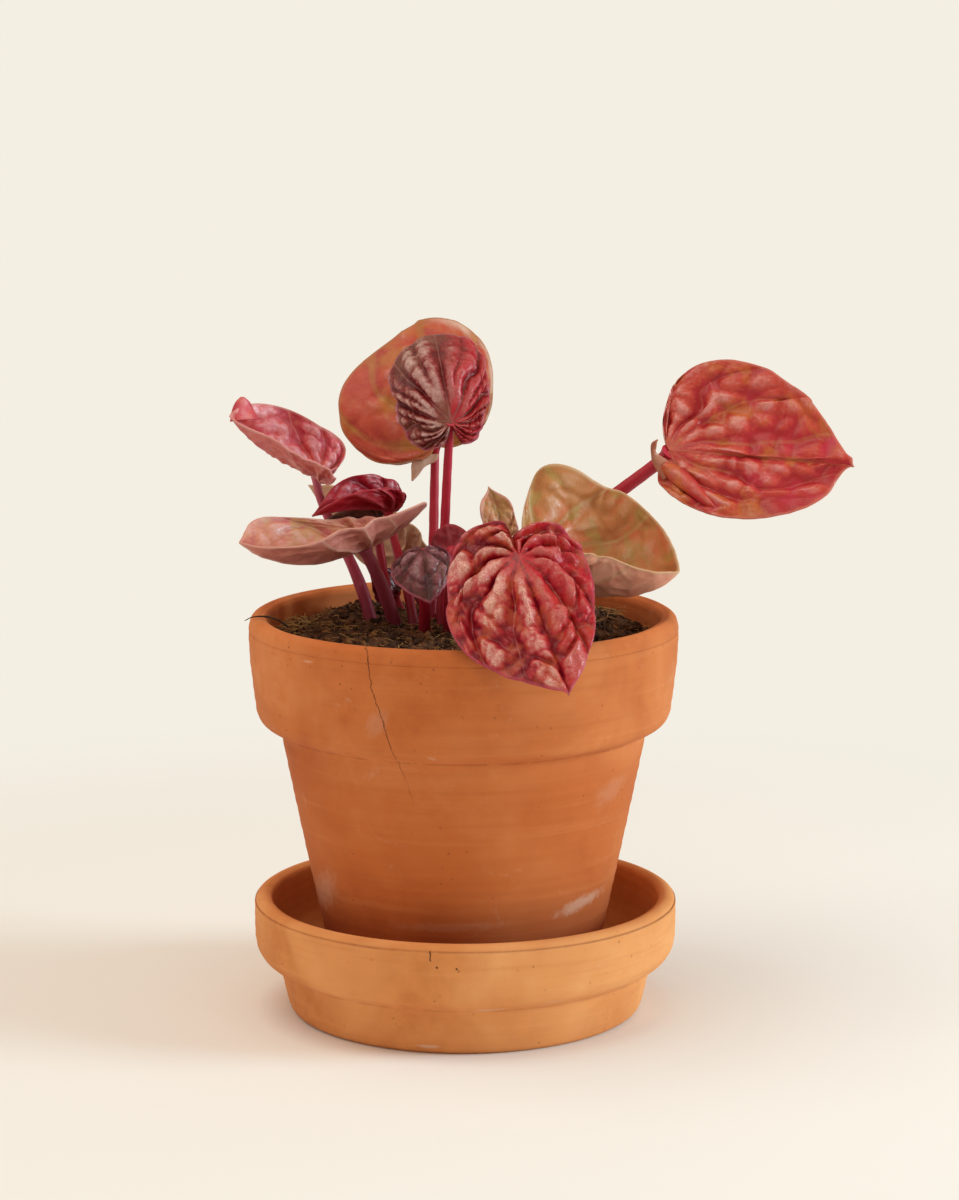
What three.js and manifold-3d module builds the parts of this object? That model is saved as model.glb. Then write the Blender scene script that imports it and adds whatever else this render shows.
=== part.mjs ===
// Potted quito peperomia: a terracotta pot in a saucer, filled with soil,
// with a rosette of red puckered leaves.
// Millimetres, +Z up. The origin is the centre of the saucer's underside, on the pot's axis.
// +X is to the viewer's right and +Y away from the viewer, who looks at the front of the plant.

import * as THREE from 'three';
import { mergeVertices } from 'three/addons/utils/BufferGeometryUtils.js';
import Module from 'manifold-3d';

const wasm = await Module();
wasm.setup();

// Pot
const POT_TOP = 113.2;
const POT_BASE = 6.0;
const RIM_RADIUS = 60.0;
const LIP_WALL = 5.0;
const BAND_BOTTOM = 80.8;
const NECK_RADIUS = 51.3;
const FOOT_RADIUS = 36.0;
const POT_FLOOR = 6.2;
const POT_WALL = 5.2;
const DRAIN_RADIUS = 6.0;

// Saucer
const SAUCER_TOP = 33.2;
const SAUCER_RADIUS = 59.6;
const SAUCER_FOOT = 48.1;
const SAUCER_FLOOR = 5.7;
const SAUCER_OFFSET = 0.4;

// Soil and root crown
const SOIL_TOP = 106.4;
const SOIL_MOUND = 1.6;
const CROWN_CENTRE = [-9, 11];
const CROWN_TOP = 94.0;
const CROWN_BOTTOM = 80.0;
const CROWN_RADIUS = 14.5;
const CROWN_STRETCH = 1.38;

// Gap kept between neighbouring pieces
const GAP = 0.3;

// Leaves
const BLADE_THICKNESS = 1.2;
const BLADE_EDGE = 0.85;
const ROUND_SEGMENTS = 48;
const CROWN_SEGMENTS = 24;
const STEM_SIDES = 7;
const STEM_STEPS = 8;
const SEAT_WIDTH = 9.0;
const SEAT_REACH = 2.2;

// Veins leave the midrib turned by up to VEIN_SWING degrees, and panels grow wider towards the lobes.
const VEIN_SWING = 32;
const PANEL_GROWTH = 1.12;
const RIDGE_ROUNDNESS = 0.75;
const DENT_DEPTH = 0.3;
const RUFFLES = 6;
const STALK_LEAN = 1.2;

const RAD = Math.PI / 180;

// Each leaf springs from the crown at stalk.at, its blade starts at joint and its point is at tip.
// face is the way its upper side looks. Pairs are for the left and right half, looking from joint to tip:
// half widths, how far the lobes reach back, the fold along the midrib, and the further curl
// out to the margin. widest, point, blunt, notch and base shape the outline, as shares of length or width.
// droop bends the blade down over its length, lobeBend bends the lobes, relief is the height of the ribs
// as a share of the length, and ribs counts the raised panels on each half.
const LEAVES = [
  {
    name: 'leaf_upper_left', joint: [-41.5, 20.5, 149.5], tip: [-65, 10.5, 167.5], face: [0, -0.7, 1],
    width: [12, 13], lobe: [5, 5.5], fold: [40, 25], curl: [30, 25], droop: -25, lobeBend: [25, 0],
    widest: [0.35, 0.3], point: [0.15, 0], blunt: [0.15, 0.45], notch: [0.14, 0.14], base: [0.6, 0.6],
    ribs: 4, relief: 0.045, wave: 0.015, colour: 0xc25a62, rough: 0.42,
    stalk: { at: [-25, 14], from: 2, to: 1.1, end: [-0.5, 0, 1], pull: [0.5, 0.25], colour: 0xb04a5c },
  },
  {
    name: 'leaf_lower_left', joint: [-28, 2, 132], tip: [-61, -16, 136], face: [0, -0.3, 1],
    width: [15, 13.5], lobe: [21, 8.5], fold: [30, 20], curl: [45, 30], droop: -55, lobeBend: [10, 50],
    widest: [0.15, 0.55], point: [0.1, 0.1], blunt: [0.15, 0.4], notch: [0.14, 0.14], base: [0.4, 0.3],
    ribs: 4, relief: 0.04, wave: 0.015, colour: 0xc08a72, rough: 0.45,
    stalk: { at: [-18, 12], from: 2.3, to: 1.7, end: [-0.6, -0.4, 1], pull: [0.4, 0.2], colour: 0x965562 },
  },
  {
    name: 'leaf_arched', joint: [-21, 18.5, 140], tip: [-42.5, 6, 140], face: [0, -0.4, 1],
    width: [7.5, 9], lobe: [0.5, 4.5], fold: [40, 25], curl: [50, 50], droop: 40, lobeBend: [-5, -20],
    widest: [0.3, 0.25], point: [0.15, 0.2], blunt: [0.25, 0.15], notch: [0.14, 0.14], base: [0.7, 0.6],
    ribs: 4, relief: 0.06, wave: 0.02, colour: 0x9c2836, rough: 0.35, small: true,
    stalk: { at: [-13, 6.5], from: 1.6, to: 1.1, end: [-0.5, 0.2, 1], pull: [0.5, 0.15], colour: 0x9a1f30 },
  },
  {
    name: 'leaf_beige', joint: [-18, 34, 124.5], tip: [-45, 42, 143.5], face: [0.2, 0.9, 0.4],
    width: [11, 11], lobe: [7, 7], fold: [5, 5], curl: [-20, -20], droop: 20, lobeBend: [10, 10],
    widest: [0.22, 0.22], point: [0.1, 0.1], blunt: [0.16, 0.16], notch: [0.14, 0.14], base: [0.55, 0.55],
    ribs: 4, relief: 0.03, wave: 0.02, colour: 0xb79a72, rough: 0.5, small: true,
    stalk: { at: [-5.4, 20.5], from: 1.9, to: 1.4, end: [-0.4, 0.3, 1], pull: [0.4, 0.2], colour: 0x8c3a44 },
  },
  {
    name: 'leaf_tall_back', joint: [-8, 30, 156.5], tip: [-13.5, 56, 190], face: [0.1, -1, 0],
    width: [27, 19], lobe: [4, 0.5], fold: [0, 10], curl: [-20, -25], droop: 55, lobeBend: [105, 10],
    widest: [0.3, 0.45], point: [0.2, 0], blunt: [0.2, 0.5], notch: [0.14, 0.14], base: [0.3, 0.3],
    ribs: 4, relief: 0.02, wave: 0.01, colour: 0xc4603a, rough: 0.45,
    stalk: { at: [-8.7, 12.5], from: 1.7, to: 1.1, end: [0, 0.1, 1], pull: [0.4, 0.14], colour: 0xa83240 },
  },
  {
    name: 'leaf_tall_ribbed', joint: [-3.5, 8, 166], tip: [-8.5, 32, 188.5], face: [0, -1, 0.3],
    width: [17.5, 15.5], lobe: [7, 7], fold: [-5, -5], curl: [-45, -45], droop: 95, lobeBend: [15, 15],
    widest: [0.45, 0.55], point: [0, 0.15], blunt: [0.3, 0.3], notch: [0.14, 0.14], base: [0.5, 0.3],
    ribs: 5, relief: 0.07, wave: 0.02, colour: 0x9c4a52, rough: 0.32,
    stalk: { at: [-6.6, 8], from: 1.7, to: 1.1, end: [0.05, 0, 1], pull: [0.2, 0.2], colour: 0xa83240 },
  },
  {
    name: 'leaf_dark_ribbed', joint: [-11, -10, 132.5], tip: [-9, -22, 119.5], face: [0, -0.9, 0.35],
    width: [9, 11], lobe: [2, 2], fold: [-8, -8], curl: [-40, -40], droop: 50, lobeBend: [10, 10],
    widest: [0.22, 0.22], point: [0.05, 0.05], blunt: [0.14, 0.14], notch: [0.14, 0.14], base: [0.55, 0.55],
    ribs: 3, relief: 0.08, wave: 0.02, colour: 0x5e3c40, rough: 0.4, small: true,
    stalk: { at: [-11, 0.5], from: 1.8, to: 1.3, end: [0, -0.3, 0.5], pull: [0.5, 0.2], colour: 0x84202e },
  },
  {
    name: 'leaf_round_dark', joint: [-3, -1.5, 130.4], tip: [-4.5, 2, 137.8], face: [0, 1, 0.3],
    width: [5.5, 5.5], lobe: [1.5, 1.5], fold: [5, 5], curl: [10, 10], droop: 10, lobeBend: [10, 10],
    widest: [0.4, 0.4], point: [0.02, 0.02], blunt: [0.14, 0.14], notch: [0.14, 0.14], base: [0.55, 0.55],
    ribs: 3, relief: 0.04, wave: 0.02, colour: 0x74212c, rough: 0.45, small: true,
    stalk: { at: [-4.2, 0.2], from: 1.7, to: 1.2, end: [0, 0.6, 0.3], pull: [0.4, 0.15], colour: 0x84202e },
  },
  {
    name: 'leaf_front', joint: [15, -50, 137], tip: [28, -78, 104.5], face: [0, -1, 0.4],
    width: [18, 22.5], lobe: [10, 13.5], fold: [-10, -10], curl: [-20, -5], droop: 20, lobeBend: [15, 20],
    widest: [0.15, 0.2], point: [0.05, 0.05], blunt: [0.15, 0.15], notch: [0.1, 0.05], base: [0.65, 0.3],
    ribs: 5, relief: 0.06, wave: 0.02, colour: 0xa83440, rough: 0.3,
    stalk: { at: [2, 1], from: 2.3, to: 1.7, end: [0.2, -0.8, 0.3], pull: [0.45, 0.25], colour: 0x9a1f30 },
  },
  {
    name: 'leaf_olive_cupped', joint: [21, -8, 129], tip: [59, -14, 127.5], face: [0, -0.7, 1],
    width: [30, 17.5], lobe: [10, 0.5], fold: [10, 50], curl: [40, 60], droop: -110, lobeBend: [-35, 10],
    widest: [0.45, 0.5], point: [0, 0.05], blunt: [0.5, 0.4], notch: [0.14, 0.14], base: [0.7, 0.6],
    ribs: 4, relief: 0.02, wave: 0.01, colour: 0xa8805a, rough: 0.48,
    stalk: { at: [5, 9], from: 2.1, to: 1.6, end: [0.5, -0.3, 0.7], pull: [0.45, 0.25], colour: 0x9a1f30 },
  },
  {
    name: 'leaf_small_olive', joint: [11.5, -8, 136.5], tip: [7, -4, 149.5], face: [0.2, -1, 0.2],
    width: [5.2, 4.3], lobe: [1, 1], fold: [10, 10], curl: [10, 10], droop: 10, lobeBend: [10, 10],
    widest: [0.4, 0.4], point: [0.2, 0.2], blunt: [0.14, 0.14], notch: [0.14, 0.14], base: [0.55, 0.55],
    ribs: 3, relief: 0.04, wave: 0.02, colour: 0xb08a5c, rough: 0.5, small: true,
    stalk: { at: [-1.5, 8], from: 1.6, to: 1.1, end: [0.1, -0.3, 1], pull: [0.4, 0.2], colour: 0x965562 },
  },
  {
    name: 'leaf_right', joint: [58.5, 22, 156], tip: [111, 14, 152.5], face: [0.2, -1, 0.7],
    width: [28.5, 20], lobe: [1.5, 2.5], fold: [0, -10], curl: [20, 20], droop: 10, lobeBend: [55, 70],
    widest: [0.25, 0.45], point: [0.05, 0.1], blunt: [0.2, 0.05], notch: [0.14, 0.14], base: [0.3, 0.3],
    ribs: 5, relief: 0.03, wave: 0.015, colour: 0xb84a40, rough: 0.38,
    stalk: { at: [1, 15.5], from: 2.1, to: 1.8, end: [1, 0, 0.5], pull: [0.3, 0.14], colour: 0xa02034 },
  },
  {
    name: 'leaf_low_glossy', joint: [-18.9, 27, 114.5], tip: [-26.9, 23, 121], face: [-0.2, -0.7, 0.5],
    width: [6, 6], lobe: [1, 1], fold: [-10, -10], curl: [-20, -20], droop: 30, lobeBend: [10, 10],
    widest: [0.22, 0.22], point: [0.1, 0.1], blunt: [0.14, 0.14], notch: [0.14, 0.14], base: [0.55, 0.55],
    ribs: 3, relief: 0.03, wave: 0.02, colour: 0x5c1822, rough: 0.25, small: true,
    stalk: { at: [-13, 22.5], from: 1.6, to: 1.1, end: [-0.3, 0.1, 0.5], pull: [0.4, 0.2], colour: 0x84202e },
  },
  {
    name: 'leaf_brown_shaded', joint: [-24.5, 20, 136.5], tip: [-39, 18, 137], face: [0, -1, 0.15],
    width: [5, 4.5], lobe: [2, 2], fold: [10, 10], curl: [10, 10], droop: 30, lobeBend: [10, 10],
    widest: [0.22, 0.22], point: [0.15, 0.15], blunt: [0.14, 0.14], notch: [0.14, 0.14], base: [0.55, 0.55],
    ribs: 3, relief: 0.04, wave: 0.02, colour: 0x6e5046, rough: 0.45, small: true,
    stalk: { at: [-20, 19], from: 1.6, to: 1.1, end: [-0.3, -0.2, 0.7], pull: [0.4, 0.2], colour: 0x84202e },
  },
];

const TERRACOTTA = 0xbe693c;
const SAUCER_CLAY = 0xd28246;
const SOIL_COLOUR = 0x40281f;
const CROWN_COLOUR = 0x6b4a35;

const clamp01 = (x) => Math.min(1, Math.max(0, x));

function smoothStep(a, b, x) {
  const t = clamp01((x - a) / (b - a));
  return t * t * (3 - 2 * t);
}

function clay(colour, roughness) {
  return new THREE.MeshStandardMaterial({ color: colour, roughness, metalness: 0 });
}

// One closed surface from corner positions and triangles.
function surfaceFrom(points, triangles) {
  const geometry = new THREE.BufferGeometry();
  geometry.setAttribute('position', new THREE.Float32BufferAttribute(points.flat(), 3));
  geometry.setIndex(triangles.flat());
  return geometry;
}

function toSolid(geometry) {
  const bare = geometry.clone();
  bare.deleteAttribute('normal');
  bare.deleteAttribute('uv');
  const merged = mergeVertices(bare, 1e-4);
  return new wasm.Manifold(new wasm.Mesh({
    numProp: 3,
    vertProperties: new Float32Array(merged.attributes.position.array),
    triVerts: new Uint32Array(merged.index.array),
  }));
}

function toGeometry(solid) {
  const mesh = solid.getMesh();
  const count = mesh.vertProperties.length / mesh.numProp;
  const position = new Float32Array(count * 3);
  for (let i = 0; i < count; i++) {
    for (let k = 0; k < 3; k++) {
      position[3 * i + k] = mesh.vertProperties[mesh.numProp * i + k];
    }
  }
  const geometry = new THREE.BufferGeometry();
  geometry.setAttribute('position', new THREE.BufferAttribute(position, 3));
  geometry.setIndex(new THREE.BufferAttribute(new Uint32Array(mesh.triVerts), 1));
  return geometry;
}

// A profile of [radius, height] pairs turned about Z, starting and ending on the axis or closing on itself.
function turned(profile, segments = ROUND_SEGMENTS) {
  const points = profile.map(([r, z]) => new THREE.Vector2(r, z));
  return new THREE.LatheGeometry(points, segments).rotateX(Math.PI / 2);
}

// Outline of one half of a blade, from the point to the inner corner of its lobe, as polar angle and radius.
function halfOutline(leaf, length, side) {
  const w = leaf.width[side];
  const lobe = leaf.lobe[side];
  const widest = leaf.widest[side];
  const base = leaf.base[side];
  const at = (u, v) => new THREE.Vector2(u, v);
  const notch = w * leaf.notch[side];
  const pieces = [
    new THREE.CubicBezierCurve(
      at(length, 0), at(length * (1 - leaf.point[side]), w * leaf.blunt[side]),
      at(length * (widest + 0.4), w), at(length * widest, w)),
    new THREE.CubicBezierCurve(
      at(length * widest, w), at(length * (widest - 0.3), w),
      at(-lobe, w * (base + 0.36)), at(-lobe, w * base)),
    new THREE.CubicBezierCurve(
      at(-lobe, w * base), at(-lobe, w * (base - 0.22)),
      at(-lobe * 0.92, notch), at(-lobe * 0.72, notch)),
  ];
  const outline = [];
  for (const piece of pieces) {
    for (const p of piece.getPoints(24)) {
      outline.push({ angle: Math.atan2(p.y, p.x), u: p.x, v: p.y });
    }
  }
  return outline;
}

function marginPoint(outline, angle) {
  let i = 1;
  while (i < outline.length - 1 && outline[i].angle < angle) {
    i++;
  }
  const a = outline[i - 1];
  const b = outline[i];
  const span = b.angle - a.angle;
  const t = span > 1e-9 ? clamp01((angle - a.angle) / span) : 0;
  return [a.u + (b.u - a.u) * t, a.v + (b.v - a.v) * t];
}

// The blade's own axes: along the midrib where it starts, to the left, and out of the upper side.
function bladeAxes(leaf) {
  const joint = new THREE.Vector3(...leaf.joint);
  const chord = new THREE.Vector3(...leaf.tip).sub(joint);
  const reach = chord.length();
  const along = chord.clone().normalize();
  const face = new THREE.Vector3(...leaf.face);
  face.addScaledVector(along, -face.dot(along)).normalize();
  const left = face.clone().cross(along);
  const half = leaf.droop * RAD / 2;
  const bend = Math.max(Math.abs(half), 1e-6);
  return {
    joint,
    length: reach * bend / Math.sin(bend),
    heading: along.clone().multiplyScalar(Math.cos(half)).addScaledVector(face, Math.sin(half)),
    left,
    up: face.clone().multiplyScalar(Math.cos(half)).addScaledVector(along, -Math.sin(half)),
  };
}

// A point of the blade in its own axes, with the way out of the upper side there.
// side is 0 for the left half and 1 for the right, rib runs from 0 on the midrib to leaf.ribs at the notch,
// and t from 0 at the stalk to 1 on the margin.
function bladePoint(leaf, length, outline, side, rib, t) {
  const w = leaf.width[side];
  const sign = side === 0 ? 1 : -1;
  const last = outline[outline.length - 1].angle;
  const angle = last * (rib / leaf.ribs) ** PANEL_GROWTH;
  const [mu, mv] = marginPoint(outline, angle);
  const radius = Math.hypot(mu, mv);
  const swing = angle + VEIN_SWING * RAD * Math.sin(Math.min(angle, Math.PI));
  const u = (1 - t) * t * radius * Math.cos(swing) + t * t * mu;
  const v = (1 - t) * t * radius * Math.sin(swing) + t * t * mv;

  const fold = leaf.fold[side] * RAD;
  const curl = leaf.curl[side] * RAD / w || 1e-5;
  const slope = fold + curl * v;
  let y = (Math.sin(slope) - Math.sin(fold)) / curl;
  let z = (Math.cos(fold) - Math.cos(slope)) / curl;
  const ny = -Math.sin(slope);
  const nz = Math.cos(slope);

  const fade = smoothStep(0.1, 0.4, t) * (1 - 0.65 * smoothStep(0.75, 1, t));
  const ridge = Math.abs(Math.sin(Math.PI * rib)) ** RIDGE_ROUNDNESS;
  const panel = Math.floor(rib - 1e-6);
  const dent = Math.cos(2 * Math.PI * (2.3 * t + 0.41 * panel)) ** 2 * smoothStep(0.3, 0.6, t);
  let height = leaf.relief * length * fade * (ridge * (1 - DENT_DEPTH * dent) - 0.45);
  const ruffle = Math.sin(RUFFLES * angle + (side === 0 ? 0 : 2.1) + leaf.width[0]);
  height += leaf.wave * length * ruffle * smoothStep(0.4, 1, t) * smoothStep(0.05, 0.5, angle);
  y += ny * height;
  z += nz * height;

  let bend = u >= 0 ? -leaf.droop * RAD / length : leaf.lobeBend[side] * RAD / (0.3 * length);
  if (Math.abs(bend) < 1e-7) {
    bend = 1e-7;
  }
  const turn = bend * u;
  const point = new THREE.Vector3(
    Math.sin(turn) / bend - z * Math.sin(turn),
    sign * y,
    (1 - Math.cos(turn)) / bend + z * Math.cos(turn));
  const out = new THREE.Vector3(-nz * Math.sin(turn), sign * ny, nz * Math.cos(turn));
  return { point, out };
}

// The closed blade: an upper face, the same face set back by the thickness, and the edge between them.
function bladeGeometry(leaf, axes, { perRib, rings, above = 0, below = null }) {
  const outlines = [0, 1].map((side) => halfOutline(leaf, axes.length, side));
  const steps = leaf.ribs * perRib;
  const columns = [];
  for (let c = -steps; c <= steps; c++) {
    const rib = Math.abs(c) / perRib;
    const column = [];
    for (let r = 1; r <= rings; r++) {
      const t = r / rings;
      const sides = c < 0 ? [1] : c > 0 ? [0] : [0, 1];
      const found = sides.map((side) => bladePoint(leaf, axes.length, outlines[side], side, rib, t));
      const point = found[0].point.clone();
      const out = found[0].out.clone();
      if (found.length === 2) {
        point.add(found[1].point).multiplyScalar(0.5);
        out.add(found[1].out).normalize();
      }
      column.push({ point, out, t });
    }
    columns.push(column);
  }

  const points = [];
  const add = (p) => points.push([p.x, p.y, p.z]) - 1;
  const depthAt = (t) => (below === null ? BLADE_THICKNESS + (BLADE_EDGE - BLADE_THICKNESS) * t * t : below);
  const topJoint = add(new THREE.Vector3(0, 0, above));
  const lowJoint = add(new THREE.Vector3(0, 0, -depthAt(0)));
  const top = columns.map((column) => [topJoint,
    ...column.map(({ point, out }) => add(point.clone().addScaledVector(out, above)))]);
  const low = columns.map((column) => [lowJoint,
    ...column.map(({ point, out, t }) => add(point.clone().addScaledVector(out, -depthAt(t))))]);

  const distance = (a, b) => Math.hypot(...points[a].map((x, k) => x - points[b][k]));
  const triangles = [];
  for (let i = 0; i < columns.length - 1; i++) {
    triangles.push([topJoint, top[i][1], top[i + 1][1]], [lowJoint, low[i + 1][1], low[i][1]]);
    for (let j = 1; j < rings; j++) {
      const corners = [[i, j], [i, j + 1], [i + 1, j + 1], [i + 1, j]];
      const ids = corners.map(([a, b]) => top[a][b]);
      const even = distance(ids[0], ids[2]) <= distance(ids[1], ids[3]);
      const order = even ? [[0, 1, 2], [0, 2, 3]] : [[0, 1, 3], [1, 2, 3]];
      for (const three of order) {
        triangles.push(three.map((k) => top[corners[k][0]][corners[k][1]]));
        triangles.push(three.map((k) => low[corners[k][0]][corners[k][1]]).reverse());
      }
    }
    const [a, b, c, d] = [top[i][rings], low[i][rings], low[i + 1][rings], top[i + 1][rings]];
    triangles.push([a, b, c], [a, c, d]);
  }
  const end = columns.length - 1;
  for (let j = 0; j < rings; j++) {
    triangles.push([top[0][j], low[0][j], low[0][j + 1]], [top[0][j], low[0][j + 1], top[0][j + 1]]);
    triangles.push([top[end][j], top[end][j + 1], low[end][j + 1]]);
    triangles.push([top[end][j], low[end][j + 1], low[end][j]]);
  }
  return surfaceFrom(points, triangles);
}

// A tapered round stem along a curve, closed at both ends.
function stemGeometry(curve, from, to, grow = 0, sink = 0) {
  const steps = STEM_STEPS;
  const sides = STEM_SIDES;
  const points = [];
  const triangles = [];
  const add = (p) => points.push([p.x, p.y, p.z]) - 1;
  const loops = [];
  for (let i = 0; i <= steps; i++) {
    const t = i / steps;
    const centre = curve.getPoint(t);
    const tangent = curve.getTangent(t);
    if (i === 0) {
      centre.addScaledVector(tangent, -sink);
    }
    const across = new THREE.Vector3(0, 1, 0).cross(tangent).normalize();
    const other = tangent.clone().cross(across);
    const radius = from + (to - from) * t + grow;
    loops.push(Array.from({ length: sides }, (_, k) => {
      const a = 2 * Math.PI * k / sides;
      const sideways = across.clone().multiplyScalar(radius * Math.cos(a));
      return add(centre.clone().add(sideways).addScaledVector(other, radius * Math.sin(a)));
    }));
  }
  for (let i = 0; i < steps; i++) {
    for (let k = 0; k < sides; k++) {
      const n = (k + 1) % sides;
      const [a, b, c, d] = [loops[i][k], loops[i][n], loops[i + 1][n], loops[i + 1][k]];
      triangles.push([a, b, c], [a, c, d]);
    }
  }
  for (let k = 1; k < sides - 1; k++) {
    triangles.push([loops[0][0], loops[0][k + 1], loops[0][k]]);
    triangles.push([loops[steps][0], loops[steps][k], loops[steps][k + 1]]);
  }
  return surfaceFrom(points, triangles);
}

function stemCurve(leaf, axes) {
  const { at, end, pull } = leaf.stalk;
  const foot = new THREE.Vector3(at[0], at[1], CROWN_TOP + GAP + 0.1);
  const head = axes.joint.clone().addScaledVector(axes.up, -0.6 * BLADE_THICKNESS);
  const span = head.distanceTo(foot);
  const lean = new THREE.Vector3(...end).addScaledVector(axes.up, STALK_LEAN).normalize();
  return new THREE.CubicBezierCurve3(
    foot, foot.clone().add(new THREE.Vector3(0, 0, span * pull[0])),
    head.clone().addScaledVector(lean, -span * pull[1]), head);
}

function largestPiece(solid) {
  return solid.decompose().sort((a, b) => b.volume() - a.volume())[0];
}

const plant = new THREE.Group();

function place(parent, name, geometry, material) {
  const mesh = new THREE.Mesh(geometry, material);
  mesh.name = name;
  parent.add(mesh);
  return mesh;
}

// Saucer: turned, with a narrow foot, a shoulder and a thick rounded lip.
const saucerProfile = [
  [0, 0], [SAUCER_FOOT, 0], [49.8, 1.4], [50.9, 5], [51.9, 9.5], [52.7, 13.0], [54.2, 14.0], [56.6, 15.4],
  [58.5, 17.6], [SAUCER_RADIUS - 0.1, 21.5], [SAUCER_RADIUS, SAUCER_TOP - 2.4], [SAUCER_RADIUS - 0.7, SAUCER_TOP - 0.8],
  [SAUCER_RADIUS - 2.4, SAUCER_TOP], [SAUCER_RADIUS - 4.1, SAUCER_TOP - 0.5],
  [SAUCER_RADIUS - 5, SAUCER_TOP - 2.2],
  [54.2, 22], [52.6, 17.2], [49.6, 12.9], [46.5, 8.6], [42.6, SAUCER_FLOOR], [0, SAUCER_FLOOR],
];
const saucer = place(plant, 'saucer', turned(saucerProfile), clay(SAUCER_CLAY, 0.85));
saucer.position.x = SAUCER_OFFSET;

// Pot: tapered body, neck, thick band with a rounded lip, and a floor with a drain hole.
const innerAt = (z) => FOOT_RADIUS - POT_WALL + (z - POT_BASE) * 0.208 + 0.6;
const potProfile = [
  [DRAIN_RADIUS, POT_BASE], [FOOT_RADIUS - 1, POT_BASE], [FOOT_RADIUS, POT_BASE + 1],
  [44.2, 45.4], [50.0, 74.0], [50.8, 78.6], [NECK_RADIUS, BAND_BOTTOM], [52.6, BAND_BOTTOM + 0.8],
  [55.2, BAND_BOTTOM + 1.8], [57.0, 84.2], [57.9, 86.2], [58.3, 88.8],
  [RIM_RADIUS - 0.3, 101], [RIM_RADIUS, 109.5], [RIM_RADIUS - 0.5, POT_TOP - 1.3],
  [RIM_RADIUS - 1.7, POT_TOP - 0.3], [RIM_RADIUS - 2.6, POT_TOP], [RIM_RADIUS - 3.7, POT_TOP - 0.4],
  [RIM_RADIUS - LIP_WALL, POT_TOP - 2],
  [54.2, 99], [51.4, 88], [innerAt(79), 79], [innerAt(16), 16],
  [innerAt(16) - 3.2, POT_BASE + POT_FLOOR], [DRAIN_RADIUS, POT_BASE + POT_FLOOR], [DRAIN_RADIUS, POT_BASE],
];
place(plant, 'pot', turned(potProfile), clay(TERRACOTTA, 0.85));

// Root crown, a short thick stock lying under the surface.
const crownProfile = [
  [0, CROWN_BOTTOM], [7, CROWN_BOTTOM + 0.6], [12, CROWN_BOTTOM + 3.4],
  [CROWN_RADIUS, CROWN_BOTTOM + 7.5], [CROWN_RADIUS, CROWN_TOP - 3],
  [CROWN_RADIUS - 0.6, CROWN_TOP - 0.8], [CROWN_RADIUS - 1.6, CROWN_TOP], [0, CROWN_TOP],
];
const crownShape = turned(crownProfile, CROWN_SEGMENTS).scale(CROWN_STRETCH, 1, 1);
const crown = place(plant, 'root_crown', crownShape, clay(CROWN_COLOUR, 0.9));
crown.position.set(CROWN_CENTRE[0], CROWN_CENTRE[1], 0);

// Leaves: each blade sits in its own frame at the stalk's head, and each stalk is cut clear of its blade.
const stems = [];
for (const leaf of LEAVES) {
  const axes = bladeAxes(leaf);
  const frame = new THREE.Matrix4().makeBasis(axes.heading, axes.left, axes.up).setPosition(axes.joint);
  const detail = leaf.small ? { perRib: 2, rings: 4 } : { perRib: 3, rings: 5 };
  const blade = place(plant, leaf.name, bladeGeometry(leaf, axes, detail), clay(leaf.colour, leaf.rough));
  blade.applyMatrix4(frame);

  const curve = stemCurve(leaf, axes);
  const { from, to, colour } = leaf.stalk;
  const near = { ...detail, above: 0.8, below: BLADE_THICKNESS + GAP + 0.2 };
  const around = bladeGeometry(leaf, axes, near).applyMatrix4(frame);
  const dips = [0, 1].map((side) => -leaf.fold[side] - leaf.curl[side] * SEAT_REACH / leaf.width[side]);
  const arch = SEAT_REACH * Math.sin(Math.max(0, ...dips) * RAD);
  const low = BLADE_THICKNESS + 2 * GAP + 0.2 * leaf.relief * axes.length + arch;
  const seat = new THREE.BoxGeometry(SEAT_WIDTH, SEAT_WIDTH, low + 2.5);
  seat.translate(0, 0, 1.25 - low / 2).applyMatrix4(frame);
  const cut = toSolid(stemGeometry(curve, from, to)).subtract(toSolid(seat)).subtract(toSolid(around));
  place(plant, leaf.name.replace('leaf', 'stalk'), toGeometry(largestPiece(cut)), clay(colour, 0.4));
  stems.push({ curve, from, to });
}

// Soil: fills the pot, slightly mounded over the crown, with plain holes for the stalks.
function soilHeight(x, y) {
  const nearCrown = Math.exp(-(((x + 9) / 30) ** 2 + ((y - 9) / 26) ** 2));
  const crumbs = 0.55 * Math.sin(0.33 * x + 1.1) * Math.cos(0.29 * y) + 0.35 * Math.sin(0.71 * x - 0.5 * y);
  return SOIL_TOP + SOIL_MOUND * nearCrown + crumbs;
}

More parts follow.
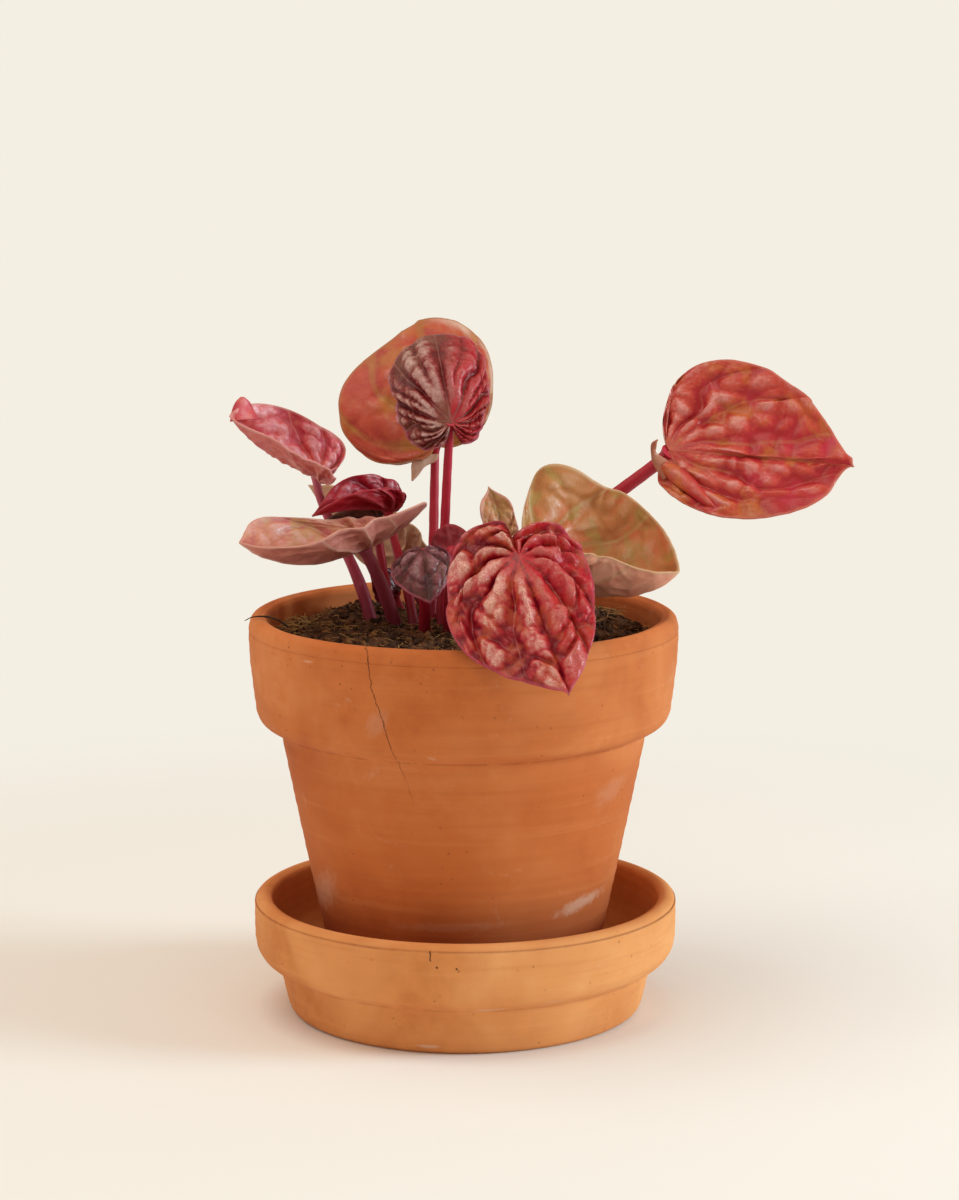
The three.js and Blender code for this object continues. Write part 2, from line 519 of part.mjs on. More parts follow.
function soilGeometry() {
  const wall = [
    [innerAt(16) - 3.6, POT_BASE + POT_FLOOR + GAP], [innerAt(16) - GAP, 16.2], [innerAt(79) - GAP, 79.1],
    [51.4 - GAP - 0.1, 88.2], [54.2 - GAP - 0.1, 99.2],
  ];
  const radii = [54.6 - GAP - 0.1, 47, 39, 31, 23, 15, 7];
  const points = [[0, 0, wall[0][1]]];
  const triangles = [];
  const ring = (r, height) => Array.from({ length: ROUND_SEGMENTS }, (_, k) => {
    const a = 2 * Math.PI * k / ROUND_SEGMENTS;
    const [x, y] = [r * Math.sin(a), -r * Math.cos(a)];
    return points.push([x, y, typeof height === 'number' ? height : height(x, y)]) - 1;
  });
  const loops = wall.map(([r, z]) => ring(r, z));
  for (const r of radii) {
    loops.push(ring(r, soilHeight));
  }
  const centre = points.push([0, 0, soilHeight(0, 0)]) - 1;
  for (let k = 0; k < ROUND_SEGMENTS; k++) {
    const n = (k + 1) % ROUND_SEGMENTS;
    triangles.push([0, loops[0][n], loops[0][k]]);
    for (let i = 0; i < loops.length - 1; i++) {
      const [a, b, c, d] = [loops[i][k], loops[i][n], loops[i + 1][n], loops[i + 1][k]];
      triangles.push([a, b, c], [a, c, d]);
    }
    triangles.push([centre, loops.at(-1)[k], loops.at(-1)[n]]);
  }
  return surfaceFrom(points, triangles);
}

let soil = toSolid(soilGeometry());
const roomy = crownProfile.map(([r, z]) => [r === 0 ? 0 : r + GAP, z < 90 ? z - GAP : z + GAP]);
const hollow = turned(roomy, CROWN_SEGMENTS).scale(CROWN_STRETCH, 1, 1);
hollow.translate(CROWN_CENTRE[0], CROWN_CENTRE[1], 0);
soil = soil.subtract(toSolid(hollow));
for (const { curve, from, to } of stems) {
  soil = soil.subtract(toSolid(stemGeometry(curve, from, to, GAP + 0.2, 0.5)));
}
place(plant, 'soil', toGeometry(soil), clay(SOIL_COLOUR, 0.95));

export default plant;
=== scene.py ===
"""Looks of the potted quito peperomia: clay pot, saucer, peat soil, puckered red leaves on fleshy stalks.

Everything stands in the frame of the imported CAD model: metres, +Z up, origin at the centre of the saucer's
underside, +X to the viewer's right and +Y away from the viewer. Sizes are written in millimetres and turned
into metres by MM where a mesh is made.
"""

from __future__ import annotations

import logging
import math
from dataclasses import dataclass, field
from enum import Enum
from typing import Any, Callable, Sequence

import bpy
import numpy as np
from mathutils import Euler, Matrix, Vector

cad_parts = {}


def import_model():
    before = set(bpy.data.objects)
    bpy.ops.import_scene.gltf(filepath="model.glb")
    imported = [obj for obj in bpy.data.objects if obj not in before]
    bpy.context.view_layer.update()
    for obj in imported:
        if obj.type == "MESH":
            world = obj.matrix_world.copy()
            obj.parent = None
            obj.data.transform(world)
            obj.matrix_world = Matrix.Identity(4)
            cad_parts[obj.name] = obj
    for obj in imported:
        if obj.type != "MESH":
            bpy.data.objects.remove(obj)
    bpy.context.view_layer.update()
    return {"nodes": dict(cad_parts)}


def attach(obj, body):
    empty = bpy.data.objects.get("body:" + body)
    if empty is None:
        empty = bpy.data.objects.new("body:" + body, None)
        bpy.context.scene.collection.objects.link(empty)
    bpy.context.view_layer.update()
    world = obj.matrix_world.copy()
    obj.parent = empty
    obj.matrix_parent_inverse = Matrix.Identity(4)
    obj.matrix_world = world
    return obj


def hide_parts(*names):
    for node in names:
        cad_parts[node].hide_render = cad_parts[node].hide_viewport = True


LOG = logging.getLogger("potted_plant")

MM = 0.001
BODY = "root"

# Cells of a noise pattern along each way before it repeats.
PATTERN = 64

Pair = tuple[float, float]
Triple = tuple[float, float, float]
Colour = tuple[float, float, float, float]
Array = np.ndarray


# Numbers and colours


def paint(code: str) -> Colour:
    """Linear colour of a six-digit sRGB code such as "be693c"."""
    channels = [int(code[i:i + 2], 16) / 255 for i in (0, 2, 4)]
    linear = [c / 12.92 if c <= 0.04045 else ((c + 0.055) / 1.055) ** 2.4 for c in channels]
    return (linear[0], linear[1], linear[2], 1.0)


def smooth_step(low: float, high: float, x: Array) -> Array:
    """Rises smoothly from 0 at low to 1 at high."""
    t = np.clip((x - low) / (high - low), 0.0, 1.0)
    return t * t * (3.0 - 2.0 * t)


def unit(vectors: Array) -> Array:
    """Vectors scaled to length one along their last axis."""
    return vectors / np.maximum(np.linalg.norm(vectors, axis=-1, keepdims=True), 1e-12)


def lattice_noise(x: Array, y: Array, seed: int) -> Array:
    """Smooth two-dimensional noise.

    Args:
        x, y: Places, in cells of the noise.
        seed: Chooses the pattern.

    Returns:
        Values between -1 and 1.
    """
    table = np.random.default_rng(seed).uniform(-1.0, 1.0, (PATTERN, PATTERN))
    xi, yi = np.floor(x).astype(int), np.floor(y).astype(int)
    fx, fy = x - xi, y - yi
    fx, fy = fx * fx * (3.0 - 2.0 * fx), fy * fy * (3.0 - 2.0 * fy)

    def corner(i: int, j: int) -> Array:
        """Table values at one corner of every cell."""
        return table[(xi + i) % PATTERN, (yi + j) % PATTERN]

    near = corner(0, 0) * (1.0 - fx) + corner(1, 0) * fx
    far = corner(0, 1) * (1.0 - fx) + corner(1, 1) * fx
    return near * (1.0 - fy) + far * fy


def pillows(x: Array, y: Array, seed: int, soft: float = 0.5) -> Array:
    """Uneven cushions with narrow creases between them.

    Args:
        x, y: Places, in cushions.
        seed: Chooses the pattern.
        soft: Width of the creases, in cushions.

    Returns:
        Values that are 0 in a crease and 1 on a cushion.
    """
    spots = np.random.default_rng(seed).uniform(0.1, 0.9, (2, PATTERN, PATTERN))
    xi, yi = np.floor(x).astype(int), np.floor(y).astype(int)
    first = np.full(np.shape(x), np.inf)
    second = first.copy()
    for i in (-1, 0, 1):
        for j in (-1, 0, 1):
            a, b = xi + i, yi + j
            right, up = spots[:, a % PATTERN, b % PATTERN]
            away = np.hypot(a + right - x, b + up - y)
            second = np.minimum(second, np.maximum(first, away))
            first = np.minimum(first, away)
    return smooth_step(0.0, soft, second - first)


def cubic(points: Sequence[Sequence[float]], t: Array) -> Array:
    """Points on a cubic Bezier curve.

    Args:
        points: Its two ends with its two handles between them.
        t: Places from 0 to 1.

    Returns:
        One point for each place.
    """
    a, b, c, d = (np.asarray(p, float) for p in points)
    s = t[:, None]
    return (1 - s) ** 3 * a + 3 * (1 - s) ** 2 * s * b + 3 * (1 - s) * s * s * c + s ** 3 * d


# Meshes

# Radius in millimetres below which a turned point lies on the axis.
POLE = 1e-6


@dataclass
class Skin:
    """A mesh in the making: points in millimetres, faces, and one value per point for each named layer."""

    points: Array
    faces: list[tuple[int, ...]]
    layers: dict[str, Array] = field(default_factory=dict)

    def join(self, other: "Skin") -> "Skin":
        """Puts two skins together.

        Args:
            other: A skin with the same layers.

        Returns:
            Both as one.
        """
        start = len(self.points)
        faces = self.faces + [tuple(k + start for k in face) for face in other.faces]
        layers = {key: np.concatenate([self.layers[key], other.layers[key]]) for key in self.layers}
        return Skin(np.vstack([self.points, other.points]), faces, layers)

    def build(self, name: str, material: bpy.types.Material | None = None) -> bpy.types.Object:
        """Makes the object, smooth shaded, with its layers as float attributes.

        Args:
            name: Name of the object and its mesh.
            material: Finish for all its faces.

        Returns:
            The object, linked to the scene.
        """
        mesh = bpy.data.meshes.new(name)
        mesh.from_pydata((np.asarray(self.points) * MM).tolist(), [], self.faces)
        for layer, values in self.layers.items():
            attribute = mesh.attributes.new(layer, "FLOAT", "POINT")
            attribute.data.foreach_set("value", np.asarray(values, np.float32))
        mesh.shade_smooth()
        if material is not None:
            mesh.materials.append(material)
        piece = bpy.data.objects.new(name, mesh)
        bpy.context.scene.collection.objects.link(piece)
        return piece


def circle(count: int) -> Array:
    """Angles of points spread evenly round a full turn."""
    return np.linspace(0.0, 2.0 * np.pi, count, endpoint=False)


def grid_faces(rows: int, columns: int, start: int = 0, wrap: bool = False) -> list[tuple[int, ...]]:
    """Quads of a grid of points stored row by row.

    Args:
        rows, columns: Points along each way.
        start: Index of the first point.
        wrap: Whether the last column joins the first.

    Returns:
        The quads, turned so that row to column to outside is right-handed.
    """
    quads = []
    for i in range(rows - 1):
        for j in range(columns if wrap else columns - 1):
            n = (j + 1) % columns
            a, b = start + i * columns, start + (i + 1) * columns
            quads.append((a + j, a + n, b + n, b + j))
    return quads


def lathe(profile: Array, segments: int, wobble: Callable[[Array, Array, Array], Array]) -> Skin:
    """Turns a closed profile of radius and height about Z.

    Args:
        profile: Points (radius, height) with the solid on their left; an end of radius 0 is a pole.
        segments: Points around.
        wobble: Change of radius from angle, radius and height.

    Returns:
        The turned skin.
    """
    angles = circle(segments)
    points, rings, faces = [], [], []
    for radius, height in profile:
        if radius < POLE:
            rings.append([len(points)] * segments)
            points.append((0.0, 0.0, height))
            continue
        rings.append(list(range(len(points), len(points) + segments)))
        r = radius + wobble(angles, np.full(segments, radius), np.full(segments, height))
        points.extend(zip(r * np.cos(angles), r * np.sin(angles), [height] * segments))
    closing = profile[0][0] > POLE
    for i in range(len(rings) if closing else len(rings) - 1):
        low, high = rings[i], rings[(i + 1) % len(rings)]
        for k in range(segments):
            n = (k + 1) % segments
            face = (low[k], low[n], high[n], high[k])
            faces.append(tuple(dict.fromkeys(face)))
    return Skin(np.array(points), faces)


def rounded(corners: Sequence[Sequence[float]], step: float = 1.2) -> Array:
    """A smooth profile through corners of radius and height.

    Args:
        corners: (radius, height, sharp) where sharp is 1 for a crisp corner and 0 for a smooth one.
        step: Distance between points, in millimetres.

    Returns:
        Points along the profile.
    """
    data = np.asarray(corners, float)
    out: list[Array] = []
    for i in range(len(data) - 1):
        p, q = data[i, :2], data[i + 1, :2]
        before = data[max(i - 1, 0), :2]
        after = data[min(i + 2, len(data) - 1), :2]
        leave = (q - p) / 3 if data[i, 2] else (q - before) / 6
        arrive = (q - p) / 3 if data[i + 1, 2] else (after - p) / 6
        count = max(2, int(np.ceil(np.linalg.norm(q - p) / step)))
        t = np.linspace(0.0, 1.0, count, endpoint=False)
        out.append(cubic([p, p + leave, q - arrive, q], t))
    out.append(data[-1:, :2])
    return np.vstack(out)


# Node trees


class Tree:
    """A node tree in the making."""

    def __init__(self, tree: bpy.types.NodeTree) -> None:
        """Starts on an existing tree."""
        self.tree = tree

    def node(self, kind: str, settings: dict[str, Any] | None = None,
             inputs: dict[Any, Any] | None = None, output: Any = 0) -> "Socket":
        """Adds a node.

        Args:
            kind: The node's type.
            settings: Its own settings, set before its sockets.
            inputs: Values or sockets by the name or number of the node's input.
            output: Name or number of the output that is returned.

        Returns:
            The chosen output.
        """
        made = self.tree.nodes.new(kind)
        for key, value in (settings or {}).items():
            setattr(made, key, value)
        for key, value in (inputs or {}).items():
            if isinstance(value, Socket):
                self.tree.links.new(value.output, made.inputs[key])
            else:
                made.inputs[key].default_value = value
        return Socket(self, made.outputs[output])


class Socket:
    """A value in a node tree, whose operators add Math nodes to the tree."""

    def __init__(self, tree: Tree, output: bpy.types.NodeSocket) -> None:
        """Wraps an output of a node of the tree."""
        self.tree = tree
        self.output = output

    def math(self, operation: str, *inputs: Any) -> "Socket":
        """One Math node on the given inputs."""
        return self.tree.node("ShaderNodeMath", {"operation": operation}, dict(enumerate(inputs)))

    def __add__(self, other: Any) -> "Socket":
        """Sum."""
        return self.math("ADD", self, other)

    __radd__ = __add__

    def __sub__(self, other: Any) -> "Socket":
        """Difference."""
        return self.math("SUBTRACT", self, other)

    def __rsub__(self, other: Any) -> "Socket":
        """Difference from a number."""
        return self.math("SUBTRACT", other, self)

    def __mul__(self, other: Any) -> "Socket":
        """Product."""
        return self.math("MULTIPLY", self, other)

    __rmul__ = __mul__

    def __truediv__(self, other: Any) -> "Socket":
        """Quotient."""
        return self.math("DIVIDE", self, other)

    def __pow__(self, other: Any) -> "Socket":
        """Power."""
        return self.math("POWER", self, other)

    def abs(self) -> "Socket":
        """Size without its sign."""
        return self.math("ABSOLUTE", self)

    def least(self, other: Any) -> "Socket":
        """The smaller of the two."""
        return self.math("MINIMUM", self, other)

    def rise(self, low: float, high: float) -> "Socket":
        """A smooth step.

        Args:
            low: Value at which it is 0.
            high: Value at which it is 1; it may be below low.

        Returns:
            The step.
        """
        mapped = self.tree.node("ShaderNodeMapRange", {"interpolation_type": "SMOOTHSTEP", "clamp": True}, {
            "Value": self, "From Min": min(low, high), "From Max": max(low, high),
            "To Min": 0.0, "To Max": 1.0})
        return 1.0 - mapped if low > high else mapped


class Shader(Tree):
    """A material with its node tree, and short calls for the nodes that the finishes use."""

    def __init__(self, name: str) -> None:
        """Makes a material without nodes.

        Args:
            name: Its name.
        """
        self.material = bpy.data.materials.new(name)
        self.material.use_nodes = True
        super().__init__(self.material.node_tree)
        self.tree.nodes.clear()

    def place(self) -> Socket:
        """Object coordinates, in metres."""
        return self.node("ShaderNodeTexCoord", output="Object")

    def axes(self) -> tuple[Socket, ...]:
        """The three object coordinates, in metres."""
        place = self.place()
        return tuple(self.node("ShaderNodeSeparateXYZ", inputs={0: place}, output=axis) for axis in "XYZ")

    def layer(self, name: str) -> Socket:
        """A float attribute of the mesh."""
        return self.node("ShaderNodeAttribute", {"attribute_name": name}, output="Fac")

    def stretched(self, scale: Triple, shift: Triple = (0.0, 0.0, 0.0)) -> Socket:
        """Object coordinates scaled along each axis and shifted."""
        return self.node("ShaderNodeMapping", {"vector_type": "POINT"},
                         {"Vector": self.place(), "Scale": scale, "Location": shift})

    def noise(self, size: float, detail: float = 3.0, rough: float = 0.55, warp: float = 0.0,
              vector: Socket | None = None) -> Socket:
        """Cloudy noise from 0 to 1.

        Args:
            size: Size of its clouds in millimetres, or in the units of vector.
            detail: Finer layers added.
            rough: Strength of the finer layers.
            warp: Distortion.
            vector: Coordinates, or None for object coordinates.

        Returns:
            The noise.
        """
        scale = 1.0 / (size * MM) if vector is None else 1.0 / size
        return self.node("ShaderNodeTexNoise", {"noise_dimensions": "3D"}, {
            "Vector": vector or self.place(), "Scale": scale, "Detail": detail, "Roughness": rough,
            "Distortion": warp})

    def cells(self, size: float) -> Socket:
        """Distance to the nearest cell point, in cells of the given size in millimetres."""
        return self.node("ShaderNodeTexVoronoi", {"feature": "F1"},
                         {"Vector": self.place(), "Scale": 1.0 / (size * MM)}, "Distance")

    def mix(self, a: Any, b: Any, share: Any) -> Socket:
        """Colour a turning into colour b as share goes from 0 to 1."""
        return self.node("ShaderNodeMix", {"data_type": "RGBA", "clamp_factor": True},
                         {0: share, 6: a, 7: b}, 2)

    def coats(self, colour: Any, *coats: tuple[str, Any]) -> Any:
        """A colour with others over it, each given by its code and its share."""
        for code, share in coats:
            colour = self.mix(colour, paint(code), share)
        return colour

    def bump(self, height: Socket, depth: float, strength: float) -> Socket:
        """Normal tilted by a height of 0 to 1 over a depth in millimetres."""
        return self.node("ShaderNodeBump", {},
                         {"Height": height, "Distance": depth * MM, "Strength": strength})

    def finish(self, colour: Any, rough: Any, normal: Socket | None = None,
               **others: Any) -> bpy.types.Material:
        """Joins the values to one Principled surface.

        Args:
            colour: Base colour.
            rough: Roughness.
            normal: Bumped normal.
            others: Further sockets by name, with spaces written as underscores.

        Returns:
            The finished material.
        """
        inputs = {"Base Color": colour, "Roughness": rough}
        inputs.update({key.replace("_", " "): value for key, value in others.items()})
        if normal is not None:
            inputs["Normal"] = normal
        surface = self.node("ShaderNodeBsdfPrincipled", {}, inputs)
        output = self.tree.nodes.new("ShaderNodeOutputMaterial")
        self.tree.links.new(surface.output, output.inputs["Surface"])
        return self.material


class Growth(Tree):
    """A Geometry Nodes tree with named inputs, which works on the mesh of the piece that it is run on."""

    def __init__(self, name: str) -> None:
        """Makes a tree that takes a mesh in and gives one out.

        Args:
            name: Its name.
        """
        super().__init__(bpy.data.node_groups.new(name, "GeometryNodeTree"))
        for way in ("INPUT", "OUTPUT"):
            self.tree.interface.new_socket(name="Geometry", in_out=way, socket_type="NodeSocketGeometry")
        self.entry = self.tree.nodes.new("NodeGroupInput")
        self.mesh = Socket(self, self.entry.outputs["Geometry"])

    def input(self, name: str, kind: str) -> Socket:
        """Adds a named input of the tree and gives its value inside."""
        self.tree.interface.new_socket(name=name, in_out="INPUT", socket_type="NodeSocket" + kind)
        return Socket(self, self.entry.outputs[name])

    def strewn(self, thing: Socket, scale: Socket, least: Triple, most: Triple, seed: Socket) -> Socket:
        """Copies of a thing strewn over the mesh, as densely as the input Density says.

        Args:
            thing: What is copied.
            scale: Size of each copy.
            least, most: Limits of its random turn about each axis, in radians.
            seed: Seed of the places and turns.

        Returns:
            The copies as one mesh or curve.
        """
        spots = self.node("GeometryNodeDistributePointsOnFaces", {"distribute_method": "RANDOM"},
                          {"Mesh": self.mesh, "Density": self.input("Density", "Float"), "Seed": seed})
        copies = self.node("GeometryNodeInstanceOnPoints", inputs={
            "Points": spots, "Instance": thing, "Rotation": self.random(least, most, seed), "Scale": scale})
        return self.node("GeometryNodeRealizeInstances", inputs={0: copies})

    def random(self, least: Triple, most: Triple, seed: Socket) -> Socket:
        """A random vector between two others."""
        return self.node("FunctionNodeRandomValue", {"data_type": "FLOAT_VECTOR"},
                         {0: least, 1: most, "Seed": seed})

    def crumpled(self, shape: Socket, noise: dict[str, float], middle: Triple, by: Any) -> Socket:
        """A shape with its points pushed about by noise.

        Args:
            shape: The shape.
            noise: Inputs of the noise.
            middle: Value of the noise that moves nothing.
            by: How far a noise of 1 moves a point, in metres.

        Returns:
            The crumpled shape.
        """
        push = self.node("ShaderNodeTexNoise", {}, noise, "Color")
        push = self.node("ShaderNodeVectorMath", {"operation": "SUBTRACT"}, {0: push, 1: middle})
        push = self.node("ShaderNodeVectorMath", {"operation": "SCALE"}, {0: push, "Scale": by})
        return self.node("GeometryNodeSetPosition", inputs={"Geometry": shape, "Offset": push})

    def round_wire(self, curve: Socket, sides: Any, radius: Any, scale: Any = 1.0) -> Socket:
        """A closed round wire along a curve.

        Args:
            curve: The curve.
            sides: Points around.
            radius: Radius of the wire in metres, before scale.
            scale: Factor on the radius, which can change along the curve.

        Returns:
            The wire.
        """
        ring = self.node("GeometryNodeCurvePrimitiveCircle", {"mode": "RADIUS"},
                         {"Resolution": sides, "Radius": radius})
        return self.node("GeometryNodeCurveToMesh", inputs={
            "Curve": curve, "Profile Curve": ring, "Scale": scale, "Fill Caps": True})

    def close(self, geometry: Socket) -> bpy.types.NodeTree:
        """Ends the tree in Realize Instances and Set Material.

        Args:
            geometry: What the tree has made.

        Returns:
            The finished tree.
        """
        real = self.node("GeometryNodeRealizeInstances", inputs={0: geometry})
        dressed = self.node("GeometryNodeSetMaterial", inputs={
            "Geometry": real, "Material": self.input("Material", "Material")})
        self.tree.links.new(dressed.output, self.tree.nodes.new("NodeGroupOutput").inputs[0])
        return self.tree


def grow(piece: bpy.types.Object, tree: bpy.types.NodeTree, values: dict[str, Any]) -> bpy.types.Object:
    """Runs a tree on a piece and keeps the result as a plain mesh.

    Args:
        piece: Object whose mesh feeds the tree.
        tree: The Geometry Nodes tree.
        values: Inputs of the tree by name.

    Returns:
        The same object with the grown mesh and no modifier.
    """
    modifier = piece.modifiers.new("growth", "NODES")
    modifier.node_group = tree
    for item in tree.interface.items_tree:
        if item.in_out == "INPUT" and item.name in values:
            modifier[item.identifier] = values[item.name]
    bpy.context.view_layer.update()
    evaluated = piece.evaluated_get(bpy.context.evaluated_depsgraph_get())
    mesh = bpy.data.meshes.new_from_object(evaluated)
    piece.modifiers.clear()
    old = piece.data
    piece.data = mesh
    mesh.name = piece.name
    bpy.data.meshes.remove(old)
    return piece


# Finishes


@dataclass(frozen=True)
class SaltMark:
    """A pale dried patch on the front of the clay, in millimetres and degrees; share is its strength."""

    x: float
    z: float
    long: float
    wide: float
    tilt: float
    share: float

    def mask(self, s: Shader) -> Socket:
        """Where the patch is.

        Args:
            s: The shader of the clay.

        Returns:
            The patch's share in its middle, and 0 beyond it.
        """
        x, y, z = s.axes()
        turn = math.radians(self.tilt)
        right, up = x - self.x * MM, z - self.z * MM
        along = (right * math.cos(turn) + up * math.sin(turn)) / (self.long * MM)
        across = (up * math.cos(turn) - right * math.sin(turn)) / (self.wide * MM)
        away = (along * along + across * across) ** 0.5 + (s.noise(2.4, 4.0, 0.7) - 0.5) * 1.3
        return away.rise(1.1, 0.3) * (y * -1.0).rise(0.0, 12.0 * MM) * self.share


@dataclass(frozen=True)
class ClayFinish:
    """Unglazed fired clay, with clouds, turning lines, grit, a wet foot, dried salts and painted shade in
    its grooves.

    The wet foot reaches up to damp_top, fading over damp_reach on either side, and body is the tint below
    body_top. Lines are painted shade: thin lines in the wet foot's dark colour along small grooves and
    corners of the profile, each with its height and its strength.
    """

    base: str
    light: str
    dark: str
    damp_and_shade: str
    damp_top: float = -10.0
    damp_reach: float = 1.0
    salts: tuple[SaltMark, ...] = ()
    lines: tuple[Pair, ...] = ()
    body: str = ""
    body_top: float = 84.0

    def material(self, name: str, crack: Callable[[Shader], Socket]) -> bpy.types.Material:
        """Builds the material.

        Args:
            name: Its name.
            crack: Gives a mask that is 1 in the cracks and pits.

        Returns:
            The finished material.
        """
        s = Shader(name)
        z = s.axes()[2]
        clouds = s.noise(38.0, 3.0, 0.5, 0.6)
        mottle = s.noise(7.0, 4.0, 0.6)
        grit = s.noise(0.55, 2.0, 0.6)
        bloom = s.noise(11.0, 5.0, 0.7, 0.8)
        streaks = s.noise(1.0, 2.0, 0.5, vector=s.stretched((18.0, 18.0, 420.0)))
        specks = s.cells(3.1).rise(0.16, 0.08) * mottle.rise(0.5, 0.62)
        colour = s.coats(paint(self.dark), (self.light, clouds.rise(0.3, 0.72)),
                         (self.base, mottle.rise(0.25, 0.75) * 0.75))
        if self.body:
            below = z.rise(self.body_top * MM, (self.body_top - 14.0) * MM)
            colour = s.coats(colour, (self.body, below * 0.4))
        colour = s.coats(colour, (self.light, streaks.rise(0.52, 0.8) * 0.25),
                         (self.dark, streaks.rise(0.46, 0.25) * 0.25))
        # Painted shade: a thin dark line, in the colour of the wet foot, at each line's height, along a
        # small groove or corner of the profile.
        for line, share in self.lines:
            near = (z - line * MM).abs().rise(0.6 * MM, 0.1 * MM)
            colour = s.coats(colour, (self.damp_and_shade, near * bloom.rise(0.62, 0.4) * share))
        edge = z + (s.noise(14.0, 3.0, 0.6) - 0.5) * (8.0 * MM)
        wet = edge.rise((self.damp_top + self.damp_reach) * MM, (self.damp_top - self.damp_reach) * MM)
        colour = s.coats(colour, (self.dark, grit.rise(0.62, 0.8) * 0.18), ("7c3f22", specks * 0.5),
                         ("dcae8e", bloom.rise(0.6, 0.78) * 0.28), (self.damp_and_shade, wet * 0.88),
                         *(("dcb8a0", salt.mask(s)) for salt in self.salts))
        mark = crack(s)
        colour = s.coats(colour, ("4a2213", mark * 0.85))
        height = grit * 0.35 + mottle * 0.4 + streaks * 0.35 - mark * 1.6
        rough = 0.78 + 0.12 * mottle - 0.16 * wet
        return s.finish(colour, rough, s.bump(height, 0.22, 0.55), Specular_IOR_Level=0.28)


@dataclass(frozen=True)
class SoilFinish:
    """Dark peat with brown crumbs."""

    dark: str = "3a2418"
    middle: str = "70482e"
    pale: str = "a87848"

    def material(self, name: str) -> bpy.types.Material:
        """Builds the material.

        Args:
            name: Its name.

        Returns:
            The finished material.
        """
        s = Shader(name)
        clumps = s.noise(5.0, 5.0, 0.65)
        grains = s.noise(0.9, 3.0, 0.7)
        colour = s.coats(paint(self.dark), (self.middle, clumps.rise(0.35, 0.7)),
                         (self.pale, grains.rise(0.56, 0.72) * 0.5))
        return s.finish(colour, 0.92, s.bump(grains * 0.7 + clumps * 0.5, 0.6, 0.8), Specular_IOR_Level=0.2)


@dataclass(frozen=True)
class FibreFinish:
    """Dry plant fibre with darker and paler stretches."""

    dark: str
    pale: str

    def material(self, name: str) -> bpy.types.Material:
        """Builds the material.

        Args:
            name: Its name.

        Returns:
            The finished material.
        """
        s = Shader(name)
        colour = s.coats(paint(self.dark), (self.pale, s.noise(6.0, 3.0, 0.7).rise(0.35, 0.68)))
        return s.finish(colour, 0.8, s.bump(s.noise(0.5), 0.1, 0.6), Specular_IOR_Level=0.25)


@dataclass(frozen=True)
class StalkFinish:
    """Fleshy stalk: smooth, a little glossy, darker in the soil and paler where it meets the blade."""

    base: str
    dark: str
    pale: str

    def material(self, name: str) -> bpy.types.Material:
        """Builds the material.

        Args:
            name: Its name.

        Returns:
            The finished material.
        """
        s = Shader(name)
        along = s.layer("along")
        streak = s.noise(1.0, 3.0, 0.55, vector=s.stretched((900.0, 900.0, 90.0)))
        colour = s.coats(paint(self.dark), (self.base, along.rise(0.12, 0.5)),
                         (self.pale, along.rise(0.62, 1.0) * 0.45),
                         (self.pale, streak.rise(0.55, 0.8) * 0.35),
                         (self.dark, s.noise(2.2, 3.0, 0.6).rise(0.6, 0.8) * 0.4))
        return s.finish(colour, 0.48, s.bump(streak, 0.08, 0.5), Specular_IOR_Level=0.3,
                        Subsurface_Weight=0.12, Subsurface_Scale=0.8 * MM,
                        Subsurface_Radius=(1.0, 0.25, 0.2))


class Half(Enum):
    """A blade's half, seen on its upper face from the joint to the tip."""

    LEFT = 0
    RIGHT = 1

    @property
    def sign(self) -> float:
        """1 on the left and -1 on the right."""
        return 1.0 if self is Half.LEFT else -1.0


